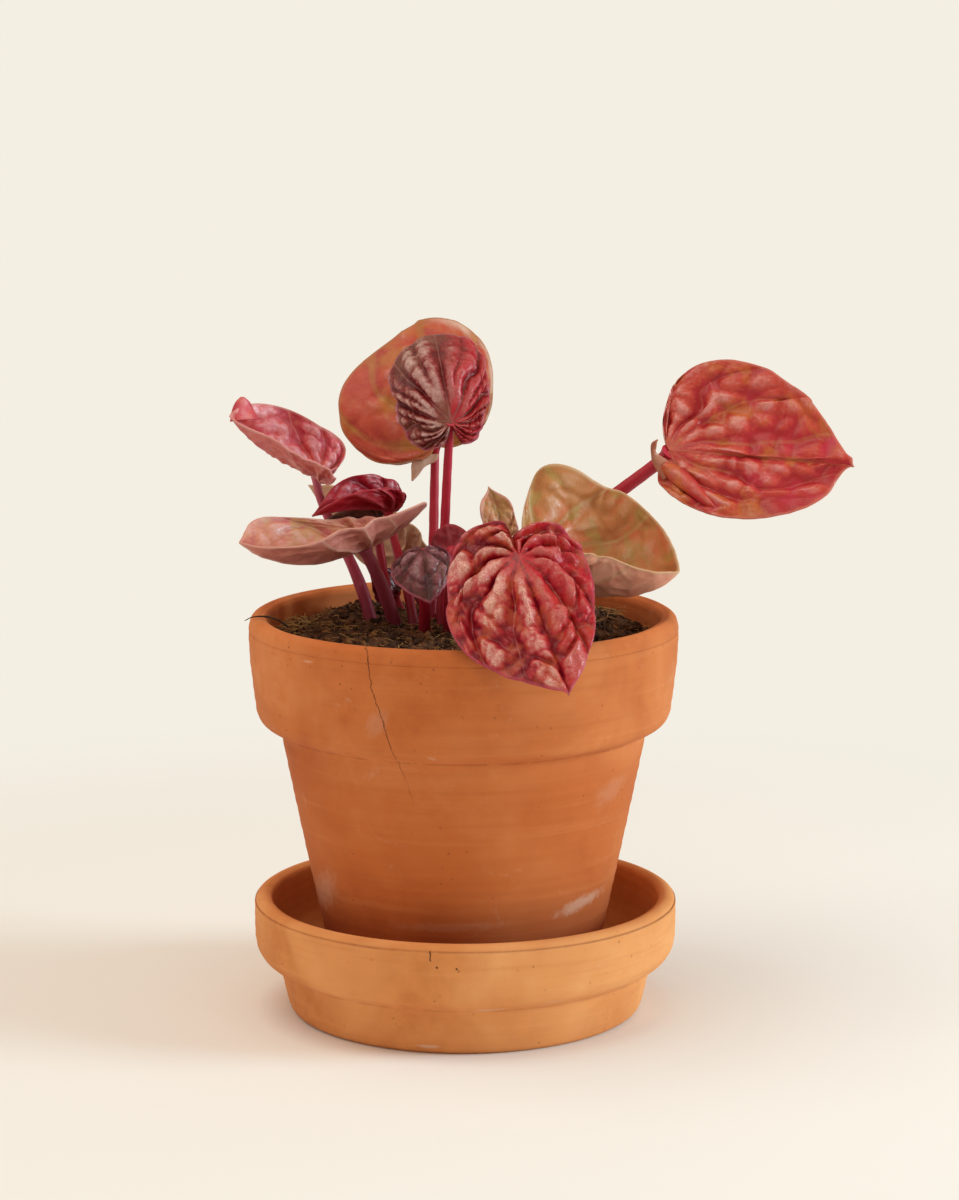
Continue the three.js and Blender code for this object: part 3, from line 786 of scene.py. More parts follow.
@dataclass(frozen=True)
class BladeFinish:
    """Skin of a puckered leaf: grooves and ridges with painted shade and sheen, veins, rim, blotches and
    underside.

    The first nine fields are colours. Groove is the leaf's own darker tone in its grooves and also painted
    shade there, and ridge is the colour of the sheen, a painted highlight. Sizes and vein_reach are in
    millimetres. The sheen lies on what rises from sheen_from over sheen_span, broken into painted glints as
    far as sparkle says, not within the share bare of the way from the joint, and mostly on sheen_half, the
    half that faces the light. One half can have a colour of its own, from the share half_from of the way to
    the margin.
    """

    groove: str
    panel: str
    ridge: str
    blotch: str
    tint: str
    vein: str
    under: str
    under_blotch: str
    rim: str
    blotches: float = 0.5
    blotch_size: float = 9.0
    tints: float = 0.4
    tint_size: float = 6.0
    sheen: float = 0.5
    sheen_from: float = 0.5
    sheen_span: float = 0.5
    sheen_mottle: float = 0.45
    bare: float = 0.25
    sheen_half: Half | None = None
    sparkle: float = 0.5
    veins: float = 0.3
    vein_reach: float = 0.3
    half_colour: str = ""
    half: Half = Half.LEFT
    half_share: float = 0.7
    half_from: float = 0.0
    rough: float = 0.42
    coat: float = 0.25

    def material(self, name: str) -> bpy.types.Material:
        """Builds the material from the layers that Blade writes on its mesh.

        Args:
            name: Its name.

        Returns:
            The finished material.
        """
        s = Shader(name)
        lift, reach, across = s.layer("lift"), s.layer("reach"), s.layer("across")
        under, main, rim = s.layer("under"), s.layer("main_vein"), s.layer("rim")
        patch = s.noise(self.blotch_size, 3.0, 0.6, 0.5)
        other = s.noise(self.tint_size * MM, 3.0, 0.6, 0.8, s.stretched((1.0, 1.0, 1.0), (0.3, 0.1, 0.2)))
        small = s.noise(1.7, 4.0, 0.65)
        glitter = s.noise(0.36, 2.0, 0.8)
        # Painted shade: the colour goes from panel down to groove as the relief sinks, over the leaf's own
        # darker tone in its grooves.
        colour = s.coats(paint(self.groove), (self.panel, lift.rise(0.06, 0.55)),
                         (self.blotch, patch.rise(0.46, 0.62) * self.blotches),
                         (self.tint, other.rise(0.5, 0.66) * self.tints))
        if self.half_colour:
            here = (across * self.half.sign).rise(-0.2, 0.7) * (0.45 + 0.9 * patch).least(1.0)
            if self.half_from:
                outer = reach + (patch - 0.5) * 0.2
                here = here * outer.rise(self.half_from - 0.04, self.half_from + 0.04)
            colour = s.coats(colour, (self.half_colour, here * lift.rise(-0.3, 0.6) * self.half_share))
        # Painted highlight: a silvery sheen on the crests of the relief, mottled, kept off the joint and
        # mostly on sheen_half, the half that faces the light; the coat and the lower roughness follow it.
        crest = lift + (small - 0.5) * self.sheen_mottle + (other - 0.5) * 0.35
        top = crest.rise(self.sheen_from, self.sheen_from + self.sheen_span)
        top = top * reach.rise(self.bare * 0.3, self.bare)
        if self.sheen_half:
            top = top * (0.3 + 0.7 * (across * self.sheen_half.sign).rise(-0.5, 0.5))
        # Painted glints that break up the sheen.
        grains = 1.0 - self.sparkle + self.sparkle * glitter.rise(0.4, 0.6)
        line = main.rise(self.vein_reach, self.vein_reach * 0.2) * patch.rise(0.25, 0.5) * self.veins
        # Random darker mottle, then the painted sheen in the ridge colour with its painted glints, then the
        # veins, which fade under the sheen.
        colour = s.coats(colour, (self.groove, small.rise(0.5, 0.75) * 0.25),
                         (self.ridge, top * grains * self.sheen), (self.vein, line * (1.0 - top * 0.8)))
        below = s.coats(paint(self.under), (self.under_blotch, patch.rise(0.42, 0.64) * 0.8),
                        (self.groove, small.rise(0.5, 0.75) * 0.2), (self.vein, main.rise(0.7, 0.2) * 0.3))
        colour = s.coats(s.mix(colour, below, under), (self.rim, rim.rise(1.1, 0.2) * 0.7))
        height = small * 0.6 + s.cells(0.5) * 0.3 + glitter * (0.25 + 0.35 * self.sparkle)
        rough = self.rough + 0.2 * (small - 0.5) + 0.1 * under - 0.12 * top
        return s.finish(colour, rough, s.bump(height, 0.14, 0.9), Specular_IOR_Level=0.32,
                        Coat_Weight=top * grains * (1.0 - under) * self.coat, Coat_Roughness=0.24)


# Leaves

# Height of the crown's top and of the soil, in millimetres.
CROWN_TOP = 94.4
SOIL_LEVEL = 106.4

# Exponent by which panels grow wider towards the lobes, as in the part's own source.
PANEL_GROWTH = 1.12

# Thickness of a blade at its joint and at its margin, in millimetres.
THICKNESS = 1.2
EDGE_THICKNESS = 0.55

# How far the midrib and main veins stand out beneath, in millimetres, and how far a vein's keel spreads.
KEEL = 0.28
KEEL_REACH = 0.7

# Share of the thickness by which a margin is rounded outward.
EDGE_ROUND = 0.28

# How far veins set out to the side before they turn to their place on the margin.
SWING = math.radians(32)

# Least bend that is worked out as a curve.
LEAST_BEND = 1e-7

# Value of a blade's rim and vein layers where no margin or vein is near, in millimetres.
FAR = 9.0


@dataclass(frozen=True)
class BladeForm:
    """Form of one blade in millimetres and degrees; pairs are its left and right half from joint to tip."""

    joint: Triple
    tip: Triple
    face: Triple
    width: Pair
    lobe: Pair
    fold: Pair
    curl: Pair
    droop: float
    relief: float
    wave: float = 0.02
    ribs: int = 4
    lobe_bend: Pair = (10, 10)
    widest: Pair = (0.22, 0.22)
    point: Pair = (0.1, 0.1)
    blunt: Pair = (0.14, 0.14)
    notch: Pair = (0.14, 0.14)
    base: Pair = (0.55, 0.55)


@dataclass(frozen=True)
class Pucker:
    """Relief of a blade beyond its ribs: cushions along the panels, splits, blisters, fine pimples, frill.

    Depths and sizes are in millimetres; cushions and across count cells from joint to margin and per panel.
    Deepen multiplies the relief of the ribs, and sharp is its exponent. Panels are creased from crease_from
    and split from split_from on. Growth and converge say how much wider panels get towards the lobes, at
    the joint and more at the margin. Full swells the margin of each half before the tip, trim blunts the
    tip, close narrows the notch at the joint and calm flattens the relief behind it.
    """

    seed: int
    deepen: float = 1.1
    growth: float = PANEL_GROWTH
    converge: float = 0.0
    full: Pair = (0.0, 0.0)
    trim: float = 0.0
    close: float = 0.0
    calm: float = 0.0
    cushions: float = 3.5
    across: float = 0.9
    crease_depth: float = 0.4
    crease_from: float = 0.25
    uneven: float = 0.3
    split: float = 0.3
    split_from: float = 0.45
    wander: float = 0.2
    blister: float = 0.3
    blister_size: float = 5.0
    fine: float = 0.1
    fine_size: float = 1.5
    sharp: float = 0.8
    frill: float = 0.25


@dataclass(frozen=True)
class BladeAxes:
    """Where a blade starts, its length, and its ways along, to the left and up."""

    joint: Array
    length: float
    along: Array
    left: Array
    up: Array

    @classmethod
    def of(cls, form: BladeForm) -> "BladeAxes":
        """The axes at a blade's joint.

        Args:
            form: The blade's form.

        Returns:
            Its axes, turned so that a blade bent by its droop ends at its tip.
        """
        joint = np.array(form.joint)
        chord = np.array(form.tip) - joint
        reach = float(np.linalg.norm(chord))
        ahead = chord / reach
        face = np.array(form.face)
        face = unit(face - ahead * (face @ ahead))
        half = math.radians(form.droop) / 2
        bend = max(abs(half), LEAST_BEND)
        return cls(joint, reach * bend / math.sin(bend), ahead * math.cos(half) + face * math.sin(half),
                   np.cross(face, ahead), face * math.cos(half) - ahead * math.sin(half))

    def world(self, vectors: Array) -> Array:
        """Vectors of the blade's own axes turned into the plant's axes."""
        return vectors @ np.stack([self.along, self.left, self.up])


@dataclass(frozen=True)
class FlatHalf:
    """A grid of points on one half of the flat blade.

    Rib is the panel coordinate, 0 on the midrib and a whole number on each further vein, and t is 0 at the
    joint and 1 on the margin. Sway is how far rib is pushed aside, angle and vein are the directions of a
    point and of its nearest vein, radius is the way to the margin, and u and v are the place along and
    across the blade.
    """

    half: Half
    rib: Array
    t: Array
    sway: Array
    angle: Array
    vein: Array
    radius: Array
    u: Array
    v: Array


class Blade:
    """A leaf blade as a closed mesh, with the layers that its finish reads."""

    def __init__(self, form: BladeForm, pucker: Pucker, spacing: float) -> None:
        """Works out the blade's axes and how many points it has.

        Args:
            form: Its form.
            pucker: Its relief.
            spacing: About the distance between its points, in millimetres.
        """
        self.form = form
        self.pucker = pucker
        self.axes = BladeAxes.of(form)
        self.rings = int(np.clip(self.axes.length / spacing, 14, 120))
        margin = (self.axes.length + form.width[0] + form.width[1]) * 2.0
        self.per_rib = int(np.clip(margin / spacing / (2 * form.ribs), 6, 34))

    def outline(self, side: int) -> Array:
        """Margin of one half of the flat blade.

        Args:
            side: 0 for the left half and 1 for the right.

        Returns:
            Points from the tip to the inner corner of the lobe.
        """
        f, length = self.form, self.axes.length
        w, lobe, widest, base = f.width[side], f.lobe[side], f.widest[side], f.base[side]
        notch = w * f.notch[side] * (1 - self.pucker.close)
        t = np.linspace(0.0, 1.0, 60)
        margin = np.vstack([
            cubic([(length, 0), (length * (1 - f.point[side]), w * f.blunt[side]),
                   (length * (widest + 0.4), w), (length * widest, w)], t),
            cubic([(length * widest, w), (length * (widest - 0.3), w),
                   (-lobe, w * (base + 0.36)), (-lobe, w * base)], t),
            cubic([(-lobe, w * base), (-lobe, w * (base - 0.22)),
                   (-lobe * 0.92, notch), (-lobe * 0.72, notch)], t)])
        share = margin[:, 0] / length
        margin[:, 1] += self.pucker.full[side] * np.sin(np.pi * np.clip((share - 0.05) / 0.8, 0, 1))
        margin[:, 0] -= self.pucker.trim * smooth_step(0.8, 1.0, share)
        return margin

    def flat(self, half: Half, rib: Array, t: Array) -> FlatHalf:
        """Lays a grid on one half of the flat blade.

        Args:
            half: The half.
            rib, t: The grid, as in FlatHalf.

        Returns:
            The laid grid.
        """
        f, p = self.form, self.pucker
        seed = p.seed * 10 + half.value
        margin = self.outline(half.value)
        turn = np.maximum.accumulate(np.arctan2(margin[:, 1], margin[:, 0]))
        sway = p.wander * lattice_noise(rib * 1.3 + 7.1, t * 3.0, seed) * smooth_step(0.1, 0.5, t)
        sway = sway * smooth_step(0.0, 0.6, rib) * smooth_step(0.0, 0.6, f.ribs - rib)
        growth = p.growth + p.converge * t ** 2
        angle = turn[-1] * np.clip((rib + sway) / f.ribs, 0, 1) ** growth
        vein = turn[-1] * np.clip((np.round(rib) + sway) / f.ribs, 0, 1) ** growth
        mu, mv = np.interp(angle, turn, margin[:, 0]), np.interp(angle, turn, margin[:, 1])
        frill = 0.6 * np.sin(np.pi * rib) ** 2 - 0.3 + lattice_noise(rib * 2.7, 0.0 * rib, seed + 8)
        frill = p.frill * frill * smooth_step(0.0, 0.5, rib) * smooth_step(0.0, 0.5, f.ribs - rib)
        frill = 1 + frill / np.hypot(mu, mv)
        mu, mv = mu * frill, mv * frill
        radius = np.hypot(mu, mv)
        swing = angle + SWING * np.sin(np.minimum(angle, np.pi))
        u = (1 - t) * t * radius * np.cos(swing) + t * t * mu
        v = (1 - t) * t * radius * np.sin(swing) + t * t * mv
        return FlatHalf(half, rib, t, sway, angle, vein, radius, u, v)

    def relief(self, g: FlatHalf) -> tuple[Array, Array]:
        """Ribs, cushions, blisters and pimples.

        Args:
            g: The grid they stand on.

        Returns:
            How far each point rises, in millimetres, and how high it looks to the finish, about 0 to 1.
        """
        f, p, side = self.form, self.pucker, g.half.value
        seed = p.seed * 10 + side
        outer = smooth_step(p.crease_from, p.crease_from + 0.4, g.t)
        ridge = np.abs(np.sin(np.pi * g.rib)) ** p.sharp
        parting = smooth_step(p.split_from, p.split_from + 0.3, g.t)
        halves = 1 - p.split * parting * (1 - np.abs(np.sin(2 * np.pi * (g.rib + 0.5 * g.sway))) ** 0.7)
        drift = 0.45 * lattice_noise(g.rib * 1.3, g.t * 3.1, seed + 3)
        cushion = pillows(g.rib * p.across + 0.4 * drift, g.t * p.cushions + drift + 0.5 * side, seed + 4)
        lift = ridge * halves * (1 - p.crease_depth * outer * (1 - cushion))
        lift = lift * (1 + p.uneven * outer * lattice_noise(g.rib * 1.6 + 3, g.t * p.cushions, seed + 6))
        lift = lift * (0.55 + 0.45 * smooth_step(0.02, 0.25, g.t))
        fade = smooth_step(0.1, 0.4, g.t) * (1 - 0.55 * smooth_step(0.8, 1.0, g.t))
        rise = p.deepen * f.relief * self.axes.length * fade * (lift - 0.45)

        x, y = g.u / p.blister_size, g.v / p.blister_size
        warp = 0.35 * lattice_noise(x + 9, y, seed + 7)
        blister = pillows(x + warp, y + 5.0 * side + warp, seed + 5, 0.7)
        fade = smooth_step(0.12, 0.35, g.t) * (1 - 0.6 * smooth_step(0.85, 1.0, g.t))
        rise = rise + p.blister * (blister - 0.5) * fade

        x, y = g.u / p.fine_size, g.v / p.fine_size
        fine = pillows(x, y + 7.0 * side, seed + 9, 0.6)
        fine = 0.6 * fine + 0.4 * lattice_noise(2.1 * x, 2.1 * y, seed + 2)
        rise = rise + p.fine * (fine - 0.5) * smooth_step(0.05, 0.2, g.t) * smooth_step(0.0, 0.12, g.rib)
        ruffle = np.sin(6 * g.angle + 2.1 * side + f.width[0])
        ruffle = ruffle * smooth_step(0.4, 1.0, g.t) * smooth_step(0.05, 0.5, g.angle)
        rise = rise + f.wave * self.axes.length * ruffle
        rise = rise * (1 - p.calm * smooth_step(0.0, 6.0, -g.u))
        # How high it looks: the finish paints shade in the grooves and the sheen, a painted highlight, on
        # the crests from it.
        shown = lift + p.blister * 0.55 * (blister - 0.6) + 0.25 * (fine - 0.5)
        return rise, np.clip(shown, 0, 1.3)

    def surface(self, half: Half, rib: Array, t: Array) -> dict[str, Array]:
        """The upper face of one half, folded, curled and bent.

        Args:
            half: The half.
            rib, t: Its grid, as in FlatHalf.

        Returns:
            Points and outward ways in the plant's axes, and the layers lift, main_vein, across and rim.
        """
        f, side, length = self.form, half.value, self.axes.length
        g = self.flat(half, rib, t)
        rise, shown = self.relief(g)
        fold = math.radians(f.fold[side])
        curl = math.radians(f.curl[side]) / f.width[side] or LEAST_BEND
        slope = fold + curl * g.v
        ny, nz = -np.sin(slope), np.cos(slope)
        y = (np.sin(slope) - math.sin(fold)) / curl + ny * rise
        z = (math.cos(fold) - np.cos(slope)) / curl + nz * rise

        bend = np.where(g.u >= 0, -math.radians(f.droop) / length,
                        math.radians(f.lobe_bend[side]) / (0.3 * length))
        bend = np.where(np.abs(bend) < LEAST_BEND, LEAST_BEND, bend)
        roll = bend * g.u
        points = np.stack([np.sin(roll) / bend - z * np.sin(roll), half.sign * y,
                           (1 - np.cos(roll)) / bend + z * np.cos(roll)], -1)
        out = np.stack([-nz * np.sin(roll), half.sign * ny, nz * np.cos(roll)], -1)
        return {
            "points": self.axes.world(points) + self.axes.joint, "out": self.axes.world(out), "lift": shown,
            "main_vein": np.abs(g.angle - g.vein) * g.radius * t,
            "across": half.sign * smooth_step(0.0, 1.0, rib), "rim": (1 - t) * g.radius}

    @staticmethod
    def border(columns: int, rings: int, inset: int = 0) -> tuple[Array, Array]:
        """The way along the open border of the blade's grid, from the joint round and back to it.

        Args:
            columns, rings: Size of the grid.
            inset: 0 for the border itself and 1 for the points beside it.

        Returns:
            Column and ring of each point.
        """
        rising, across = np.arange(rings), np.arange(1, columns - 1)
        column = np.concatenate([np.full(rings, inset), across, np.full(rings, columns - 1 - inset)])
        ring = np.concatenate([rising, np.full(columns - 2, rings - 1 - inset), rising[::-1]])
        return column, ring

    def stitched(self, columns: int, rings: int) -> list[tuple[int, ...]]:
        """Faces over the joint, the upper face, the point under the joint, the lower face and the edge.

        Args:
            columns, rings: Size of the grid of each face.

        Returns:
            The faces, turned outward.
        """
        count = columns * rings
        top, bottom, middle = 1, count + 2, 2 * count + 2
        faces: list[tuple[int, ...]] = []
        for start in range(0, count - rings, rings):
            faces.append((0, top + start, top + start + rings))
            faces.append((count + 1, bottom + start + rings, bottom + start))
        faces += grid_faces(columns, rings, top)
        faces += [quad[::-1] for quad in grid_faces(columns, rings, bottom)]
        column, ring = self.border(columns, rings)
        way = (column * rings + ring).tolist()
        for k, (here, there) in enumerate(zip(way, way[1:])):
            faces.append((top + here, middle + k, middle + k + 1, top + there))
            faces.append((middle + k, bottom + here, bottom + there, middle + k + 1))
        last = middle + len(way) - 1
        faces.append((0, count + 1, bottom + way[0], middle, top + way[0]))
        faces.append((top + way[-1], last, bottom + way[-1], count + 1, 0))
        return faces

    def skin(self) -> Skin:
        """The closed blade: both faces, and a rounded edge between them."""
        steps = self.form.ribs * self.per_rib
        rib, t = np.meshgrid(np.arange(steps + 1) / self.per_rib, np.arange(1, self.rings + 1) / self.rings,
                             indexing="ij")
        left, right = (self.surface(half, rib, t) for half in Half)
        top = {key: np.concatenate([right[key][::-1], left[key][1:]]) for key in left}
        top["points"][steps] = (left["points"][0] + right["points"][0]) / 2
        top["out"][steps] = unit(left["out"][0] + right["out"][0])
        columns, rings = top["lift"].shape
        reach = np.broadcast_to(t[0], (columns, rings))
        depth = THICKNESS + (EDGE_THICKNESS - THICKNESS) * reach ** 3
        keel = KEEL * np.exp(-(top["main_vein"] / KEEL_REACH) ** 2) * (1 - reach)
        low = top["points"] - top["out"] * (depth + keel)[..., None]

        border = self.border(columns, rings)
        edge_top, edge_low = top["points"][border], low[border]
        away = unit(edge_top - top["points"][self.border(columns, rings, 1)])
        bulge = EDGE_ROUND * np.linalg.norm(edge_top - edge_low, axis=1, keepdims=True)
        edge = (edge_top + edge_low) / 2 + away * bulge
        joint = self.axes.joint
        points = np.concatenate([[joint], top["points"].reshape(-1, 3),
                                 [joint - self.axes.up * THICKNESS], low.reshape(-1, 3), edge])

        def everywhere(upper: Array, on_edge: Array, at_joint: float = 0.0) -> Array:
            """A layer of the upper face spread to the joint, the lower face and the edge."""
            return np.concatenate([[at_joint], upper.reshape(-1), [at_joint], upper.reshape(-1), on_edge])

        layers = {key: everywhere(top[key], top[key][border]) for key in ("lift", "main_vein", "across")}
        layers["rim"] = everywhere(top["rim"], top["rim"][border], FAR)
        layers["reach"] = everywhere(reach, np.ones(len(edge)))
        layers["under"] = np.repeat([0.0, 1.0, 0.5], [1 + reach.size, 1 + reach.size, len(edge)])
        return Skin(points, self.stitched(columns, rings), layers)


@dataclass(frozen=True)
class Tongue:
    """A small curled tongue at a blade's margin: its two borders from root to end, in millimetres.

    Bow is how far it arches between them, and thick and thin are its thickness in the middle and at its
    borders. Under is 1 where it shows the blade's underside and 0 where it shows its upper face, and shine
    is the painted highlight along its middle: the lift there, on which the finish paints its sheen.
    """

    one: tuple[Triple, ...]
    other: tuple[Triple, ...]
    bow: float
    under: float = 0.0
    shine: float = 0.75
    thick: float = 0.9
    thin: float = 0.25
    rows: int = 40
    columns: int = 12

    def border(self, points: tuple[Triple, ...]) -> Array:
        """A smooth line through the points of one border.

        Args:
            points: The points.

        Returns:
            As many points as the tongue has rows.
        """
        data = np.array(points, float)
        padded = np.vstack([2 * data[0] - data[1], data, 2 * data[-1] - data[-2]])
        spans = len(data) - 1
        place = np.linspace(0, spans, self.rows)
        k = np.minimum(place.astype(int), spans - 1)
        s = (place - k)[:, None]
        a, b, c, d = (padded[k + i] for i in range(4))
        rates = 2 * b, c - a, 2 * a - 5 * b + 4 * c - d, 3 * b - a - 3 * c + d
        return 0.5 * (rates[0] + rates[1] * s + rates[2] * s ** 2 + rates[3] * s ** 3)

    def skin(self) -> Skin:
        """The closed tongue, bowed towards the viewer between its borders, with the layers of a blade."""
        one, other = self.border(self.one), self.border(self.other)
        share = np.linspace(0, 1, self.columns)[None, :, None]
        flat = one[:, None] * (1 - share) + other[:, None] * share
        out = unit(np.cross(np.gradient(flat, axis=1), np.gradient(flat, axis=0)) + 1e-9)
        out = np.where(out[..., 1:2] > 0, -out, out)
        arch = np.sin(np.pi * share)
        wrinkle = 0.12 * lattice_noise(flat[..., 0] / 1.3, flat[..., 2] / 1.3, 77)[..., None]
        top = flat + out * (self.bow * arch + wrinkle)
        low = top - out * (self.thin + (self.thick - self.thin) * arch)
        ring = np.concatenate([top, low[:, ::-1]], axis=1)
        rows, count = ring.shape[:2]
        points = np.vstack([ring.reshape(-1, 3), ring[0].mean(0)[None], ring[-1].mean(0)[None]])
        faces = grid_faces(rows, count, 0, True)
        first, last = rows * count, rows * count + 1
        for k in range(count):
            n = (k + 1) % count
            faces.append((first, n, k))
            faces.append((last, (rows - 1) * count + k, (rows - 1) * count + n))
        volume = sum(float(np.dot(points[f[0]], np.cross(points[f[i]], points[f[i + 1]])))
                     for f in faces for i in range(1, len(f) - 1))
        if volume < 0:
            faces = [face[::-1] for face in faces]
        # Painted highlight: the lift, and with it the finish's sheen, is highest along the tongue's middle;
        # the borders keep the darker groove colour.
        lift = np.broadcast_to(0.1 + self.shine * arch[..., 0], (rows, self.columns))
        lift = np.append(np.concatenate([lift, lift], axis=1).reshape(-1), [0.3, 0.3])
        even = {"main_vein": FAR, "rim": FAR, "across": 0.0, "reach": 0.5, "under": self.under}
        layers = {key: np.full(len(points), value) for key, value in even.items()}
        return Skin(points, faces, {"lift": lift, **layers})


def stalk_tree() -> bpy.types.NodeTree:
    """Geometry nodes that wrap a round stalk about a path, as thick as the path's layer "thick" says."""
    g = Growth("round_stalk")
    radius = g.node("GeometryNodeInputNamedAttribute", {"data_type": "FLOAT"}, {"Name": "thick"})
    curve = g.node("GeometryNodeMeshToCurve", inputs={0: g.mesh})
    stalk = g.round_wire(curve, g.input("Sides", "Int"), 1.0, radius)
    return g.close(g.node("GeometryNodeSetShadeSmooth", inputs={"Geometry": stalk, "Shade Smooth": True}))


def tube(name: str, path: Array, thick: Array, along: Array, tree: bpy.types.NodeTree,
         material: bpy.types.Material, sides: int = 18) -> bpy.types.Object:
    """A round stalk or root along a path.

    Args:
        name: Name of the piece.
        path: Points in millimetres.
        thick: Radius at each point in millimetres.
        along: Value of the layer "along" at each point.
        tree: The tree made by stalk_tree.
        material: Its finish.
        sides: Points around.

    Returns:
        The piece as a plain mesh.
    """
    piece = Skin(path, [], {"thick": np.asarray(thick) * MM, "along": along}).build(name)
    piece.data.edges.add(len(path) - 1)
    ends = np.stack([np.arange(len(path) - 1), np.arange(1, len(path))], 1)
    piece.data.edges.foreach_set("vertices", ends.reshape(-1))
    piece.data.update()
    return grow(piece, tree, {"Sides": sides, "Material": material})


@dataclass(frozen=True)
class StalkForm:
    """Form of one stalk: foot on the crown, radii at foot and head, lean at its head, and curve handles."""

    at: Pair
    radii: Pair
    end: Triple
    pull: Pair


CRIMSON = StalkFinish("a8142c", "5c0a18", "c03c4c")
ROSE = StalkFinish("b43850", "802038", "cc7884")
MAUVE = StalkFinish("8c3040", "541824", "a85460")
SCARLET = StalkFinish("b41832", "78101f", "c43c4c")


@dataclass(frozen=True)
class Leaf:
    """One leaf: its blade, its stalk and their finishes, with the spacing of the blade's points."""

    name: str
    form: BladeForm
    pucker: Pucker
    finish: BladeFinish
    stalk: StalkForm
    stalk_finish: StalkFinish = CRIMSON
    spacing: float = 0.72
    tongues: tuple[Tongue, ...] = ()

    def stalk_path(self, axes: BladeAxes) -> Array:
        """Centre line of the stalk, from under the soil to the joint.

        Args:
            axes: Axes of the blade at the joint.

        Returns:
            Points along the line.
        """
        foot = np.array([*self.stalk.at, CROWN_TOP])
        head = axes.joint - axes.up * (0.6 * THICKNESS)
        span = float(np.linalg.norm(head - foot))
        lean = unit(np.array(self.stalk.end) + 1.2 * axes.up)
        handles = [foot, foot + np.array([0, 0, span * self.stalk.pull[0]]),
                   head - lean * span * self.stalk.pull[1], head]
        return cubic(handles, np.linspace(0.0, 1.0, 72))

    def stalk_radii(self, path: Array) -> Array:
        """Radius along the stalk, with faint rings, a collar at the soil and a swelling under the blade.

        Args:
            path: The stalk's centre line.

        Returns:
            Radius at each of its points.
        """
        start, end = self.stalk.radii
        t = np.linspace(0.0, 1.0, len(path))
        rings = 0.05 * np.sin(path[:, 2] * 0.9 + path[:, 0]) * start * (1 - t)
        swelling = 0.45 * end * np.exp(-(np.linalg.norm(path - path[-1], axis=1) / 1.6) ** 2)
        collar = 0.35 * np.exp(-((path[:, 2] - SOIL_LEVEL) / 2.2) ** 2)
        return start + (end - start) * t + rings + swelling + collar

    def build(self, tree: bpy.types.NodeTree) -> list[bpy.types.Object]:
        """Makes the blade and the stalk, and hides the model's own blade and stalk.

        Args:
            tree: The tree made by stalk_tree.

        Returns:
            Both pieces.
        """
        blade = Blade(self.form, self.pucker, self.spacing)
        whole = blade.skin()
        for tongue in self.tongues:
            whole = whole.join(tongue.skin())
        skin = whole.build(self.name + "_blade", self.finish.material(self.name + "_skin"))
        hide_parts(self.name)
        path = self.stalk_path(blade.axes)
        along = np.linspace(0.0, 1.0, len(path))
        stem_name = self.name.replace("leaf", "stalk")
        finish = self.stalk_finish.material(stem_name + "_skin")
        stem = tube(stem_name + "_flesh", path, self.stalk_radii(path), along, tree, finish)
        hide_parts(stem_name)
        return [skin, stem]


